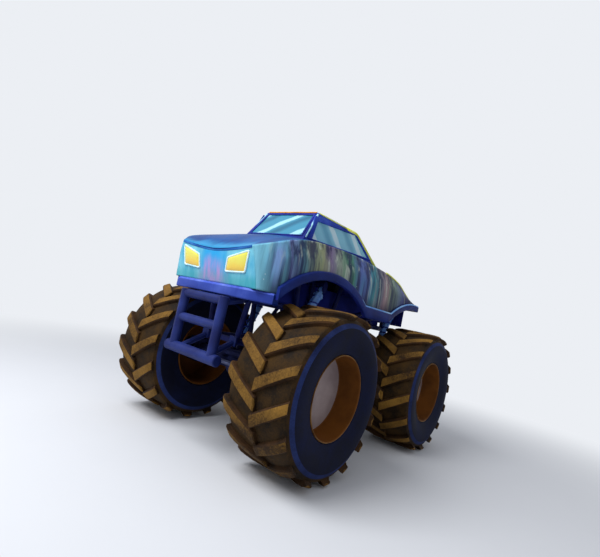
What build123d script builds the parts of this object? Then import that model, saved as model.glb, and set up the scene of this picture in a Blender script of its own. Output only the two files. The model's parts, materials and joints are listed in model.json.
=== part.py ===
"""Monster truck with a coupe body: one STEP file per node, in millimetres.

X points forward, Y to the truck's left, Z up. The origin is on the ground, midway between the axles.
Tubes, tyres and panels are made of flat faces, so that the solids stay light, and a tube's radius is
measured to its flats. Each build function makes one sub-assembly from the named sizes and saves its nodes.
"""

import math
import os

from build123d import *

# Wheels and track
WHEELBASE = 2500.0
TRACK = 2020.0  # between the tyres' centre planes
TYRE_R = 838.0  # to the lugs' corners
TYRE_W = 780.0
TYRE_SIDES = 32  # flats round a tyre, two to a lug's pitch
TREAD_IN = 130.0  # the flat tread's edge, in from the sidewall's widest plane
SHOULDER_R, SHOULDER_IN = 764.0, 34.0
BULGE_R = 610.0  # where the sidewall is widest
BEAD_R, BEAD_IN = 425.0, 62.0  # the tyre's inner edge, on the rim
LUGS = 16  # in each half of the tread
LUG_H = 46.0  # how far a lug stands above the carcass
LUG_W = 84.0
LUG_TAPER = 0.8  # a lug's width at the shoulder, as a share of its width at the middle
LUG_OVER = 24.0  # how far a lug passes the tyre's middle
RIM_SIDES = 16
RIM_WALL = 14.0
RIM_PROUD = 17.0  # how far the rim's ends stand past the beads
RIM_DISC_Y, RIM_DISC_T = 60.0, 24.0  # inner face, outboard of the wheel's centre plane, and thickness
HUB_SOCKET = 18.0  # depth of the spindle's seat in the disc

HUB_Z = TYRE_R
AXLE_X = WHEELBASE / 2
WHEEL_Y = TRACK / 2

# The body's lower edge, from which the heights of the body and of the frame are measured
BODY_BOTTOM = 2 * TYRE_R + 24.0

# Steering
KINGPIN_IN = 90.0  # kingpin inboard of the wheel's centre plane
KINGPIN_R = 20.0
KINGPIN_DEEP = 30.0  # how far each pin enters the knuckle
KNUCKLE_R, KNUCKLE_H = 72.0, 250.0
SPINDLE_R = 45.0  # of the socket, which the twelve-sided spindle's corners touch
FLANGE_R, FLANGE_T = 110.0, 46.0
STEER_ARM = 200.0
ARM_W, ARM_H, ARM_EYE_R = 52.0, 40.0, 32.0
TIE_R = 24.0
TIE_PIN_R = 16.0
PIN_CORNER = 1.5  # a flat-sided pin is this much slimmer than the round one, so that its corners turn
FORK_T = 14.0
FORK_HALF = 24.0
RAM_R = 36.0
RAM_WALL = 10.0
RAM_ROD_R = 16.0
RAM_RISE = 122.0  # ram's axis above the tie rod
RAM_BACK = 50.0  # ram's axis behind the tie rod
RAM_PIN_Y, RAM_PIN_R = 330.0, 14.0
RAM_BARREL = (-300.0, 120.0)  # its ends along Y
RAM_ROD_END = -200.0  # the rod's inner end, inside the barrel at every angle
RAM_GAP = 7.0  # each side of the tie rod's pin in the ram's fork

# Axle
AXLE_R = 85.0
PUMPKIN_R, PUMPKIN_W = 155.0, 250.0
NOSE_R, NOSE_L = 78.0, 300.0  # the pinion housing
YOKE_IN = 84.0  # the yoke's web, inboard of the kingpin
YOKE_T = 26.0
YOKE_HALF = 70.0

# Links and shocks
SEAT = 0.3  # clearance of a seated piece
LINK_R = 24.0
EYE_R = 42.0
EYE_W = 56.0
EAR_T = 16.0
SHOCK_R = 46.0
SHOCK_ROD_R = 20.0
SHOCK_FOOT_Y, SHOCK_HEAD_Y = 330.0, 440.0
COIL_R = 52.0
COIL_WIRE = 11.0
COIL_SEAT_T = 22.0

# Chassis
TUBE_R = 38.0
POST_R = 32.0
BRACE_R = 26.0
RAIL_LOW_Y, RAIL_LOW_Z = 230.0, BODY_BOTTOM - 570.0
RAIL_TOP_Y, RAIL_TOP_Z = 290.0, BODY_BOTTOM - 100.0
BELLY_X, BELLY_Z = 430.0, BODY_BOTTOM - 700.0
BEND_X = 1000.0
FRAME_FRONT, FRAME_REAR = 1660.0, -1560.0  # the end posts' axes
PLATE_T = 12.0
PLATE_HALF = 52.0
FRAME_END = FRAME_FRONT + POST_R + PLATE_T  # front face of the plates that the skid frame bolts to
BRACE_OFF = 80.0  # a diagonal's ends stand off the posts by this much along the rails
TOWER_X = (600.0, -1500.0)
TOWER_Z = BODY_BOTTOM + 290.0
TOWER_R = 28.0
ENGINE_MOUNT_X = -600.0
TOW_EYE_R = 16.0
TOW_TAB_T, TOW_TAB_HALF = 24.0, 36.0
TOW_FRONT_X, TOW_REAR_X = 1915.0, -1650.0

# Body mounts
SILL_MOUNTS = (-60.0, -500.0)
SILL_MOUNT_Z = BODY_BOTTOM + 60.0
SILL_PAD = (40.0, 34.0)  # half-length and half-height
NOSE_MOUNT_Y, NOSE_MOUNT_Z = 150.0, BODY_BOTTOM + 90.0
TAIL_MOUNT_Z = BODY_BOTTOM + 150.0
BUMPER_STAY_Y, BUMPER_STAY_Z = 60.0, BODY_BOTTOM - 60.0

# Front skid frame
SKID_X = 2030.0
SKID_POST_Y, SKID_POST_R = 318.0, 52.0
SKID_BAR_R, SKID_BAR_Y = 58.0, 424.0
SKID_BAR_END = 28.0  # length of the lower bar's narrowed ends
SKID_CROSS_R = 46.0
SKID_BRACE_R = 30.0
SKID_LOW_Z, SKID_MID_Z, SKID_TOP_Z = BODY_BOTTOM - 755.0, BODY_BOTTOM - 430.0, BODY_BOTTOM - 170.0

# Roll cage
CAGE_R = 30.0
CAGE_MAIN_X, CAGE_SCREEN_X, CAGE_BRACE_X = 60.0, 860.0, -1080.0  # its feet
CAGE_FOOT = (45.0, 34.0)  # half-length and half-width of a foot plate
CAGE_ROOF_Z = BODY_BOTTOM + 1042.0
MAIN_HOOP = [(70.0, 440.0, BODY_BOTTOM + 670.0), (110.0, 365.0, CAGE_ROOF_Z)]
SCREEN_HOOP = [(1110.0, 405.0, BODY_BOTTOM + 635.0), (945.0, 350.0, CAGE_ROOF_Z)]

# Driveline and cockpit
CASE_HALF, CASE_Z = 150.0, (BELLY_Z - 120.0, BELLY_Z + 120.0)
SHAFT_Z = BELLY_Z - 70.0  # the transfer case's outputs
SHAFT_R = 38.0
COUPLING_R, COUPLING_L = 62.0, 30.0
ENGINE_X = (-955.0, -475.0)
SEAT_X = -100.0  # the seat's rear foot
DASH_DEPTH = 220.0
STEER_WHEEL_R = 180.0

# Body
SKIN = 12.0
BEYOND = 4000.0  # past every surface of the body, for the blocks and prisms that cut it
BODY_HALF = 800.0
NOSE_TOP_X, NOSE_BOT_X = 2048.0, 1972.0
NOSE_TOP_Z = BODY_BOTTOM + 410.0
TAIL_X = -1600.0
# centre x, centre z, radius
ARCH_FRONT = (AXLE_X - 330.0, BODY_BOTTOM - 1041.0, 1331.0)
ARCH_REAR = (-AXLE_X - 230.0, BODY_BOTTOM - 1151.0, 1441.0)
ARCH_SIDES = 36
ARCH_IN_Y = 600.0
FLARE_W = 100.0
FLARE_OUT = 38.0
FLARE_FRONT_X, FLARE_FOOT_Z = 1826.0, BODY_BOTTOM - 60.0
SILL_TOP, SILL_BOTTOM = BODY_BOTTOM + 150.0, BODY_BOTTOM - 10.0
SILL_X = (-760.0, 240.0)
BUMPER_BOTTOM = BODY_BOTTOM - 114.0
BUMPER_DEPTH = 70.0
BUMPER_OUT = 22.0
BUMPER_BACK_X, BUMPER_CORNER_X, BUMPER_FRONT_Y = 1770.0, 1852.0, 572.0
GLASS_T = 6.0
GLASS_IN = 3.0  # how far the panes lie below the cab's surface
SEAM_IN = 14.0  # the panels' seams beside the shoulder creases and the cab's foot
CAB_FLARE = 70.0 / 1850.0  # how much the cab widens rearward, for each unit of length
BODY_CUT_Z = BODY_BOTTOM + 600.0  # the cab's hollow is open down to here

# Heights in these tables are above the body's lower edge
# x, bottom half-width, side half-width, side top z, shoulder half-width, shoulder z, centre z
BODY_STATIONS = [
    (2060.0, BODY_HALF - 240.0, BODY_HALF - 215.0, 285.0, BODY_HALF - 240.0, 408.0, 340.0),
    (1830.0, BODY_HALF, BODY_HALF, 340.0, BODY_HALF - 65.0, 522.0, 505.0),
    (1500.0, BODY_HALF, BODY_HALF, 420.0, BODY_HALF - 75.0, 625.0, 662.0),
    (1200.0, BODY_HALF, BODY_HALF, 460.0, BODY_HALF - 85.0, 678.0, 732.0),
    (300.0, BODY_HALF, BODY_HALF, 490.0, BODY_HALF - 100.0, 730.0, 762.0),
    (-500.0, BODY_HALF, BODY_HALF, 490.0, BODY_HALF - 100.0, 702.0, 740.0),
    (-950.0, BODY_HALF, BODY_HALF, 470.0, BODY_HALF - 95.0, 635.0, 688.0),
    (-1300.0, BODY_HALF, BODY_HALF, 430.0, BODY_HALF - 100.0, 515.0, 575.0),
    (TAIL_X, BODY_HALF, BODY_HALF, 386.0, BODY_HALF - 100.0, 404.0, 438.0),
]
# z, front x, rear x, half-width at the front
CAB_SECTIONS = [
    (680.0, 1250.0, -600.0, 490.0),
    (1100.0, 975.0, 100.0, 430.0),
    (1148.0, 900.0, 190.0, 370.0),
]
SIDE_WINDOW = [(1075.0, 750.0), (985.0, 990.0), (140.0, 1065.0), (-215.0, 835.0)]  # x, z
SCREEN = [(415.0, 762.0), (372.0, 1065.0)]  # half-width and z of the windscreen's lower and upper edges
REAR_SCREEN = [(470.0, 800.0), (395.0, 1050.0)]
LAMP = [(205.0, 135.0), (225.0, 275.0), (505.0, 362.0), (470.0, 150.0)]  # y, z
TAIL_LAMP = (330.0, 520.0, 205.0, 285.0)  # y from, y to, z from, z to

PIN_Y = WHEEL_Y - KINGPIN_IN
TIE_X = AXLE_X + STEER_ARM
SHOCK_TOP_Z = TOWER_Z - POST_R - EYE_R
# eye centres on the left of the front axle: at the axle first, then at the frame
LINK_LOW = [(AXLE_X - 60.0, RAIL_LOW_Y, HUB_Z - 118.0), (BELLY_X - 50.0, RAIL_LOW_Y, BELLY_Z - 95.0)]
LINK_TOP = [(AXLE_X - 10.0, 155.0, HUB_Z + 190.0), (BELLY_X + 90.0, 155.0, BELLY_Z + 240.0)]
SHOCK_FRONT = [(AXLE_X - 150.0, SHOCK_FOOT_Y, HUB_Z + 110.0), (TOWER_X[0], SHOCK_HEAD_Y, SHOCK_TOP_Z)]
# before it is turned to the rear
SHOCK_REAR = [(AXLE_X - 20.0, SHOCK_FOOT_Y, HUB_Z + 162.0), (-TOWER_X[1], SHOCK_HEAD_Y, SHOCK_TOP_Z)]


# Helpers
def block(x0, x1, y0, y1, z0, z1):
    """Box between limits, which may come in either order."""
    (x0, x1), (y0, y1), (z0, z1) = sorted((x0, x1)), sorted((y0, y1)), sorted((z0, z1))
    return Solid.make_box(x1 - x0, y1 - y0, z1 - z0, Plane(origin=(x0, y0, z0)))


def rod(p, q, r):
    """Round pin between two points."""
    p, q = Vector(*p), Vector(*q)
    return Solid.make_cylinder(r, (q - p).length, Plane(origin=p, z_dir=(q - p).normalized()))


def polyhedron(faces):
    """Closed solid from flat faces, each a list of points."""
    return Solid(Shell([Face(Wire.make_polygon(points, close=True)) for points in faces]))


def prism(points, way):
    """Polygon of 3-D points pushed along a vector."""
    return Solid.extrude(Face(Wire.make_polygon(points, close=True)), Vector(*way))


def side_prism(points, y0, y1):
    """Polygon of (x, z) pushed along Y."""
    return prism([(x, y0, z) for x, z in points], (0, y1 - y0, 0))


def front_prism(points, x0, x1):
    """Polygon of (y, z) pushed along X."""
    return prism([(x0, y, z) for y, z in points], (x1 - x0, 0, 0))


def plan_prism(points, z0, z1):
    """Polygon of (x, y) pushed along Z."""
    return prism([(x, y, z0) for x, y in points], (0, 0, z1 - z0))


def pipe(path, r, sides=8):
    """Flat-sided tube along points, mitred where it bends."""
    points = [Vector(*p) for p in path]
    ways = [(b - a).normalized() for a, b in zip(points, points[1:])]
    level = Vector(0, 0, 1).cross(ways[0])
    level = level.normalized() if level.length > 0.01 else Vector(1, 0, 0)
    rise = ways[0].cross(level)
    corner = r / math.cos(math.pi / sides)
    first = 0.5 if sides % 4 == 0 else 0.0  # so that a level tube has a flat on top
    turns = [(i + first) * 2 * math.pi / sides for i in range(sides)]
    rings = [[points[0] + level * (corner * math.cos(t)) + rise * (corner * math.sin(t)) for t in turns]]
    for i, way in enumerate(ways):
        mitre = way + ways[i + 1] if i + 1 < len(ways) else way
        rings.append([p + way * ((points[i + 1] - p).dot(mitre) / way.dot(mitre)) for p in rings[-1]])
    return tower(rings)


def drum(x, y0, y1, z, r, sides=12):
    """Flat-sided drum along Y."""
    return pipe([(x, y0, z), (x, y1, z)], r, sides)


def gon(r, y, sides):
    """Corners of a regular polygon about the Y axis, lined up with those of a tyre's."""
    step, stride = 2 * math.pi / TYRE_SIDES, TYRE_SIDES // sides
    turns = [(i * stride + 0.5) * step for i in range(sides)]
    return [(r * math.cos(t), y, r * math.sin(t)) for t in turns]


def band(a, b):
    """Flat faces between two rings with as many corners, or one with half as many as the other."""
    n, m = len(a), len(b)
    if m > n:
        return band(b, a)
    if m == n:
        return [[a[i - 1], a[i], b[i], b[i - 1]] for i in range(n)]
    faces = []
    for j in range(m):
        k = (j + 1) % m
        near, middle, far = a[2 * j], a[2 * j + 1], a[(2 * j + 2) % n]
        faces += [[b[j], near, middle], [b[j], middle, b[k]], [b[k], middle, far]]
    return faces


def tower(rings):
    """Closed solid through rings of corners, with flat walls between them."""
    return polyhedron([rings[0], rings[-1]] + [face for a, b in zip(rings, rings[1:]) for face in band(a, b)])


def loft(rings):
    """Closed solid through rings of seven points, mirrored about Y, each wall split in two triangles."""
    faces = [rings[0], rings[-1]]
    for a, b in zip(rings, rings[1:]):
        faces.append([a[-1], a[0], b[0], b[-1]])
        for k in range(len(a) - 1):
            if k < len(a) // 2:
                faces += [[a[k], a[k + 1], b[k + 1]], [a[k], b[k + 1], b[k]]]
            else:
                faces += [[a[k], a[k + 1], b[k]], [a[k + 1], b[k + 1], b[k]]]
    return polyhedron(faces)


def solids_of(result):
    """The solids of a boolean's result, which may come as a list."""
    pieces = result if isinstance(result, list) else [result]
    return [solid for piece in pieces for solid in piece.solids()]


def single(result):
    """One shape from a boolean's result."""
    solids = solids_of(result)
    return solids[0] if len(solids) == 1 else Compound(children=solids)


def fuse(pieces):
    return single(pieces[0].fuse(*pieces[1:])) if len(pieces) > 1 else pieces[0]


def common(piece, other):
    return single(piece.intersect(other))


def trimmed(piece, *others):
    """The piece's largest part outside the others, as a tube that is cut to sit on its neighbours."""
    return max(solids_of(piece.cut(*others)), key=lambda solid: solid.volume)


def flip(piece):
    """Mirror image on the truck's other side."""
    return piece.mirror(Plane.XZ)


def turned(piece):
    """The piece turned half round about Z, for the other axle."""
    return piece.rotate(Axis.Z, 180)


def both(piece):
    return [piece, flip(piece)]


def save(name, *pieces):
    solids = [solid for piece in pieces for solid in piece.solids()]
    export_step(Compound(children=solids) if len(solids) > 1 else solids[0], f"parts/{name}.step")


# Wheels
def lug(side, turn):
    """One tread bar: from just past the middle to the shoulder, slanted back."""
    reach = TYRE_R * math.sin(math.pi / LUGS)  # the leading corner meets the next row's middle
    top = math.sqrt(TYRE_R**2 - reach**2)
    low = TYRE_R - 1.65 * LUG_H
    half, end = LUG_W / 2, LUG_TAPER * LUG_W / 2
    lean = reach - half
    y0, y1 = -side * LUG_OVER, side * (TYRE_W / 2 - 2.0)
    feet = [(lean - half, y0), (lean + half, y0), (end - lean, y1), (-end - lean, y1)]
    return plan_prism(feet, low, top).rotate(Axis.Y, turn)


def build_tyre():
    """Tyre about the origin: flat-faced carcass with dished sidewalls and two staggered rows of lugs."""
    half, tread_r = TYRE_W / 2, TYRE_R - LUG_H
    flank = [
        (half - BEAD_IN, BEAD_R, RIM_SIDES),
        (half, BULGE_R, TYRE_SIDES),
        (half - SHOULDER_IN, SHOULDER_R, TYRE_SIDES),
        (half - TREAD_IN, tread_r, TYRE_SIDES),
    ]
    rings = [gon(r, -y, n) for y, r, n in flank] + [gon(r, y, n) for y, r, n in reversed(flank)]
    carcass = polyhedron([face for a, b in zip(rings, rings[1:] + rings[:1]) for face in band(a, b)])
    pitch = 360.0 / LUGS
    lugs = [lug(side, (i + (side > 0) / 2) * pitch) for side in (-1, 1) for i in range(LUGS)]
    return carcass.fuse(*lugs)


def build_rim():
    """Deep rim about the origin: barrel and disc, with the spindle's socket, outboard side at +Y."""
    end = TYRE_W / 2 - BEAD_IN + RIM_PROUD
    outer, inner = BEAD_R - SEAT, BEAD_R - SEAT - RIM_WALL
    tube = prism(gon(outer, -end, RIM_SIDES), (0, 2 * end, 0))
    back = prism(gon(inner, -end, RIM_SIDES), (0, end + RIM_DISC_Y, 0))
    front = prism(gon(inner, RIM_DISC_Y + RIM_DISC_T, RIM_SIDES), (0, end - RIM_DISC_Y - RIM_DISC_T, 0))
    socket = rod((0, RIM_DISC_Y - 1.0, 0), (0, RIM_DISC_Y + HUB_SOCKET, 0), SPINDLE_R + SEAT)
    return tube.cut(back, front, socket)


def build_wheels():
    tyre, rim = build_tyre(), build_rim()
    for side, y in (("left", WHEEL_Y), ("right", -WHEEL_Y)):
        for end, x in (("front", AXLE_X), ("rear", -AXLE_X)):
            for name, piece in (("tyre", tyre), ("rim", rim)):
                placed = piece if y > 0 else flip(piece)
                save(f"{name}_{end}_{side}", placed.translate((x, y, HUB_Z)))


# Steered axle, made at the front and turned for the rear
def build_knuckle():
    """Left front knuckle: post with sockets for the kingpins, spindle, flange and steering arm."""
    half, disc_y = KNUCKLE_H / 2, WHEEL_Y + RIM_DISC_Y
    post = pipe([(AXLE_X, PIN_Y, HUB_Z - half), (AXLE_X, PIN_Y, HUB_Z + half)], KNUCKLE_R)
    spindle = drum(AXLE_X, PIN_Y, disc_y + HUB_SOCKET - 2.0, HUB_Z, SPINDLE_R * math.cos(math.pi / 12))
    flange = drum(AXLE_X, disc_y - FLANGE_T, disc_y - SEAT, HUB_Z, FLANGE_R)
    low, high = HUB_Z - ARM_H / 2, HUB_Z + ARM_H / 2
    arm = block(AXLE_X, TIE_X, PIN_Y - ARM_W / 2, PIN_Y + ARM_W / 2, low, high)
    eye = pipe([(TIE_X, PIN_Y, low), (TIE_X, PIN_Y, high)], ARM_EYE_R)
    holes = [pipe([(TIE_X, PIN_Y, low - 1.0), (TIE_X, PIN_Y, high + 1.0)], TIE_PIN_R + SEAT)]
    for s in (-1, 1):
        mouth, end = HUB_Z + s * (half + 1.0), HUB_Z + s * (half - KINGPIN_DEEP - 2.0)
        holes.append(pipe([(AXLE_X, PIN_Y, mouth), (AXLE_X, PIN_Y, end)], KINGPIN_R + SEAT))
    return fuse([post, spindle, flange, arm, eye]).cut(*holes)


def build_tie_rod(hinge_side):
    """Tie rod: a fork with a pin at each steering arm, round at the hinge, and an upright pin for the ram."""
    gap = ARM_H / 2 + SEAT
    pieces = [pipe([(TIE_X, 62.0 - PIN_Y, HUB_Z), (TIE_X, PIN_Y - 62.0, HUB_Z)], TIE_R)]
    x0, x1 = TIE_X - FORK_HALF, TIE_X + FORK_HALF
    for s in (-1, 1):
        low, high = HUB_Z - gap - FORK_T, HUB_Z + gap + FORK_T
        pieces.append(block(x0, x1, s * (PIN_Y - 70.0), s * (PIN_Y - 44.0), low, high))
        for up in (-1, 1):
            z0, z1 = HUB_Z + up * gap, HUB_Z + up * (gap + FORK_T)
            pieces.append(block(x0, x1, s * (PIN_Y - 60.0), s * (PIN_Y + 20.0), z0, z1))
    pin = gap + FORK_T / 2
    y = hinge_side * PIN_Y
    pieces.append(rod((TIE_X, y, HUB_Z - pin), (TIE_X, y, HUB_Z + pin), TIE_PIN_R))
    pieces.append(pipe([(TIE_X, -y, HUB_Z - pin), (TIE_X, -y, HUB_Z + pin)], TIE_PIN_R - PIN_CORNER))
    pieces.append(pipe([(TIE_X, RAM_PIN_Y, HUB_Z), (TIE_X, RAM_PIN_Y, HUB_Z + RAM_RISE + 34.0)], RAM_PIN_R))
    return fuse(pieces)


def build_ram_rod():
    """Ram's rod with a fork around the tie rod's pin, open forward."""
    x, z = TIE_X - RAM_BACK, HUB_Z + RAM_RISE
    gap = RAM_PIN_R + RAM_GAP
    near, far = RAM_PIN_Y - gap, RAM_PIN_Y + gap
    pieces = [pipe([(x, RAM_ROD_END, z), (x, near - 10.0, z)], RAM_ROD_R)]
    pieces.append(block(x - 24.0, x + 12.0, near - 18.0, far + FORK_T, z - 18.0, z + 18.0))
    for y0, y1 in ((near - 18.0, near), (far, far + FORK_T)):
        pieces.append(block(x, x + RAM_BACK + 26.0, y0, y1, z - 18.0, z + 18.0))
    return fuse(pieces)


def ear(x, z, foot_x, foot_z, y0, y1):
    """Plate from a rounded end at an eye to a straight foot."""
    way = math.atan2(z - foot_z, x - foot_x)
    across = (-EYE_R * math.sin(way), EYE_R * math.cos(way))
    turns = [way + math.radians(a) for a in (-90, -30, 30, 90)]
    ring = [(x + EYE_R * math.cos(t), z + EYE_R * math.sin(t)) for t in turns]
    ring += [(foot_x + across[0], foot_z + across[1]), (foot_x - across[0], foot_z - across[1])]
    return side_prism(ring, y0, y1)


def ears(x, y, z, foot_x, foot_z):
    """Two plates either side of an eye whose axis lies along Y."""
    gap = EYE_W / 2 + SEAT
    return [ear(x, z, foot_x, foot_z, y + s * gap, y + s * (gap + EAR_T)) for s in (-1, 1)]


def build_axle(shock_foot):
    """Axle housing with yokes and kingpins, pumpkin, pinion housing, ears for links and shocks, and ram."""
    inner, top = PIN_Y - YOKE_IN, KNUCKLE_H / 2 + SEAT
    pieces = [drum(AXLE_X, -inner, inner, HUB_Z, AXLE_R, 8)]
    pieces.append(drum(AXLE_X, -PUMPKIN_W / 2, PUMPKIN_W / 2, HUB_Z, PUMPKIN_R))
    pieces.append(pipe([(AXLE_X, 0, HUB_Z), (AXLE_X - NOSE_L, 0, HUB_Z)], NOSE_R))
    x0, x1 = AXLE_X - YOKE_HALF, AXLE_X + YOKE_HALF
    low, high = HUB_Z - top - YOKE_T, HUB_Z + top + YOKE_T
    for s in (-1, 1):
        pieces.append(block(x0, x1, s * (inner - 60.0), s * inner, low, high))
        for up in (-1, 1):
            face, back = HUB_Z + up * top, HUB_Z + up * (top + YOKE_T)
            pieces.append(block(x0, x1, s * (inner - 60.0), s * (PIN_Y + 50.0), face, back))
        root, tip = top + YOKE_T / 2, top - KINGPIN_DEEP
        upper = [(AXLE_X, s * PIN_Y, HUB_Z + z) for z in (root, tip)]
        lower = [(AXLE_X, s * PIN_Y, HUB_Z - z) for z in (root, tip)]
        pieces += [rod(*upper, KINGPIN_R), pipe(lower, KINGPIN_R - PIN_CORNER)]
        for x, y, z in (LINK_LOW[0], LINK_TOP[0], shock_foot):
            pieces += ears(x, s * y, z, AXLE_X, HUB_Z)
    ram_x, ram_z = TIE_X - RAM_BACK, HUB_Z + RAM_RISE
    start, end = RAM_BARREL
    for y0 in (start + 20.0, end - 60.0):
        pieces.append(block(AXLE_X, ram_x, y0, y0 + 40.0, ram_z - 20.0, ram_z + 20.0))
        pieces.append(block(AXLE_X - 40.0, AXLE_X + 40.0, y0, y0 + 40.0, HUB_Z, ram_z + 20.0))
    pieces.append(drum(ram_x, start, end, ram_z, RAM_R, 8))
    bore = drum(ram_x, start + 20.0, end - 16.0, ram_z, RAM_R - RAM_WALL, 8)
    gland = drum(ram_x, end - 17.0, end + 1.0, ram_z, RAM_ROD_R + SEAT, 8)
    return fuse(pieces).cut(bore, gland)


def build_axles():
    knuckle, ram = build_knuckle(), build_ram_rod()
    save("axle_front", build_axle(SHOCK_FRONT[0]))
    save("axle_rear", turned(build_axle(SHOCK_REAR[0])))
    save("knuckle_front_left", knuckle)
    save("knuckle_front_right", flip(knuckle))
    save("knuckle_rear_left", turned(flip(knuckle)))
    save("knuckle_rear_right", turned(knuckle))
    save("tie_rod_front", build_tie_rod(1))
    save("tie_rod_rear", turned(build_tie_rod(-1)))  # each hangs on its left knuckle
    save("steering_ram_rod_front", ram)
    save("steering_ram_rod_rear", turned(ram))


# Links and shocks
def link(p, q):
    """Bar between two eyes whose axes lie along Y."""
    eyes = [drum(e[0], e[1] - EYE_W / 2, e[1] + EYE_W / 2, e[2], EYE_R - 6.0, 8) for e in (p, q)]
    return fuse([pipe([p, q], LINK_R, 6)] + eyes)


def build_shock(foot, head):
    """Left shock: rod, body, the coil's two plates and the eyes, and the coil's outer shape as a sleeve."""
    p, q = Vector(*foot), Vector(*head)
    way = (q - p).normalized()
    seat, split, cap = p + way * 120.0, p + way * ((q - p).length * 0.42), q - way * 110.0
    neck = q - way * (EYE_R + 20.0)
    # start, end, radius
    stages = [(p, split, SHOCK_ROD_R), (split, neck, SHOCK_R), (neck, q, SHOCK_ROD_R)]
    stages += [(at, at + way * COIL_SEAT_T, COIL_R + COIL_WIRE / 2) for at in (seat, cap)]
    body = [pipe([start, end], r, 6) for start, end, r in stages]
    body += [drum(e.X, e.Y - EYE_W / 2, e.Y + EYE_W / 2, e.Z, EYE_R - 6.0, 8) for e in (p, q)]
    sleeve = pipe([seat + way * (COIL_SEAT_T + SEAT), cap - way * SEAT], COIL_R + COIL_WIRE / 2, 6)
    return fuse(body), sleeve.cut(pipe([seat, cap], COIL_R - COIL_WIRE / 2, 6))


def build_suspension():
    links = [side for ends in (LINK_LOW, LINK_TOP) for side in both(link(*ends))]
    save("suspension_links_front", *links)
    save("suspension_links_rear", *[turned(piece) for piece in links])
    for end, ends in (("front", SHOCK_FRONT), ("rear", SHOCK_REAR)):
        for name, piece in zip(("shocks", "shock_springs"), build_shock(*ends)):
            pair = both(piece) if end == "front" else both(turned(piece))
            save(f"{name}_{end}", *pair)


# Chassis
LOW_RAIL = [
    (FRAME_REAR - POST_R, RAIL_LOW_Z),
    (-BEND_X, RAIL_LOW_Z),
    (-BELLY_X, BELLY_Z),
    (BELLY_X, BELLY_Z),
    (BEND_X, RAIL_LOW_Z),
    (FRAME_FRONT + POST_R, RAIL_LOW_Z),
]
POST_X = (FRAME_REAR, -BEND_X, -BELLY_X, BELLY_X, BEND_X, FRAME_FRONT)
# x of a diagonal's foot and head, before they stand off the posts
DIAGONALS = [(-BEND_X, -BELLY_X), (-BELLY_X, 0.0), (BELLY_X, 0.0), (BEND_X, BELLY_X)]


def low_rail_z(x):
    """Height of the lower rail's axis."""
    share = (abs(x) - BELLY_X) / (BEND_X - BELLY_X)
    return BELLY_Z + (RAIL_LOW_Z - BELLY_Z) * min(max(share, 0.0), 1.0)


def strut_y(x, z):
    """How far out the plane between the lower and the upper rail lies at a height."""
    share = (z - low_rail_z(x)) / (RAIL_TOP_Z - low_rail_z(x))
    return RAIL_LOW_Y + (RAIL_TOP_Y - RAIL_LOW_Y) * share


def build_rails():
    """Two bent lower rails and two straight upper ones, each with a plate at its front end."""
    rails = []
    top_rail = [(LOW_RAIL[0][0], RAIL_TOP_Z), (LOW_RAIL[-1][0], RAIL_TOP_Z)]
    for y, path in ((RAIL_LOW_Y, LOW_RAIL), (RAIL_TOP_Y, top_rail)):
        z = path[-1][1]
        half = PLATE_HALF
        plate = block(FRAME_END - PLATE_T, FRAME_END, y - half, y + half, z - half, z + half)
        rails += both(fuse([pipe([(x, y, z) for x, z in path], TUBE_R), plate]))
    save("chassis_rails", *rails)
    return rails


def build_struts(rails):
    """Posts and diagonals between the rails, clear of each other."""
    struts = []
    for x in POST_X:
        struts.append(pipe([(x, RAIL_LOW_Y, low_rail_z(x)), (x, RAIL_TOP_Y, RAIL_TOP_Z)], POST_R, 6))
    for foot, head in DIAGONALS:
        way = math.copysign(BRACE_OFF, head - foot)
        x0, x1 = foot + way, head - way
        struts.append(pipe([(x0, RAIL_LOW_Y, low_rail_z(x0)), (x1, RAIL_TOP_Y, RAIL_TOP_Z)], BRACE_R, 6))
    struts = [side for strut in struts for side in both(trimmed(strut, *rails))]
    save("chassis_struts", *struts)
    return struts


def build_cross_tubes(carriers):
    """Tubes across the frame: between the rails, behind the upper links' brackets and under the engine."""
    # x, half-length, z, number of sides: four where a bracket or a tow tab sits on the front or rear face
    spans = [(x, RAIL_TOP_Y, RAIL_TOP_Z, 6) for x in POST_X]
    # none at the bends, where the upper links pass
    spans += [(x, RAIL_LOW_Y, low_rail_z(x), 4) for x in POST_X if abs(x) != BEND_X]
    spans += [(x, strut_y(x, LINK_TOP[1][2]), LINK_TOP[1][2], 4) for x in (-BELLY_X, BELLY_X)]
    spans.append((ENGINE_MOUNT_X, RAIL_LOW_Y, low_rail_z(ENGINE_MOUNT_X), 6))
    tubes = [trimmed(drum(x, -y, y, z, POST_R, sides), *carriers) for x, y, z, sides in spans]
    save("chassis_cross_tubes", *tubes)
    return tubes


def build_shock_towers(rails):
    """A portal over each axle: two uprights on the upper rails, a bar and the shocks' ears."""
    towers = []
    reach = SHOCK_HEAD_Y + EYE_W / 2 + SEAT + EAR_T
    for x in TOWER_X:
        pieces = [drum(x, -reach, reach, TOWER_Z, POST_R, 6)]
        for s in (-1, 1):
            pieces.append(pipe([(x, s * RAIL_TOP_Y, RAIL_TOP_Z), (x, s * RAIL_TOP_Y, TOWER_Z)], TOWER_R, 6))
            pieces += ears(x, s * SHOCK_HEAD_Y, SHOCK_TOP_Z, x, TOWER_Z)
        towers.append(trimmed(fuse(pieces), *rails))
    save("shock_towers", *towers)
    return towers


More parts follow.
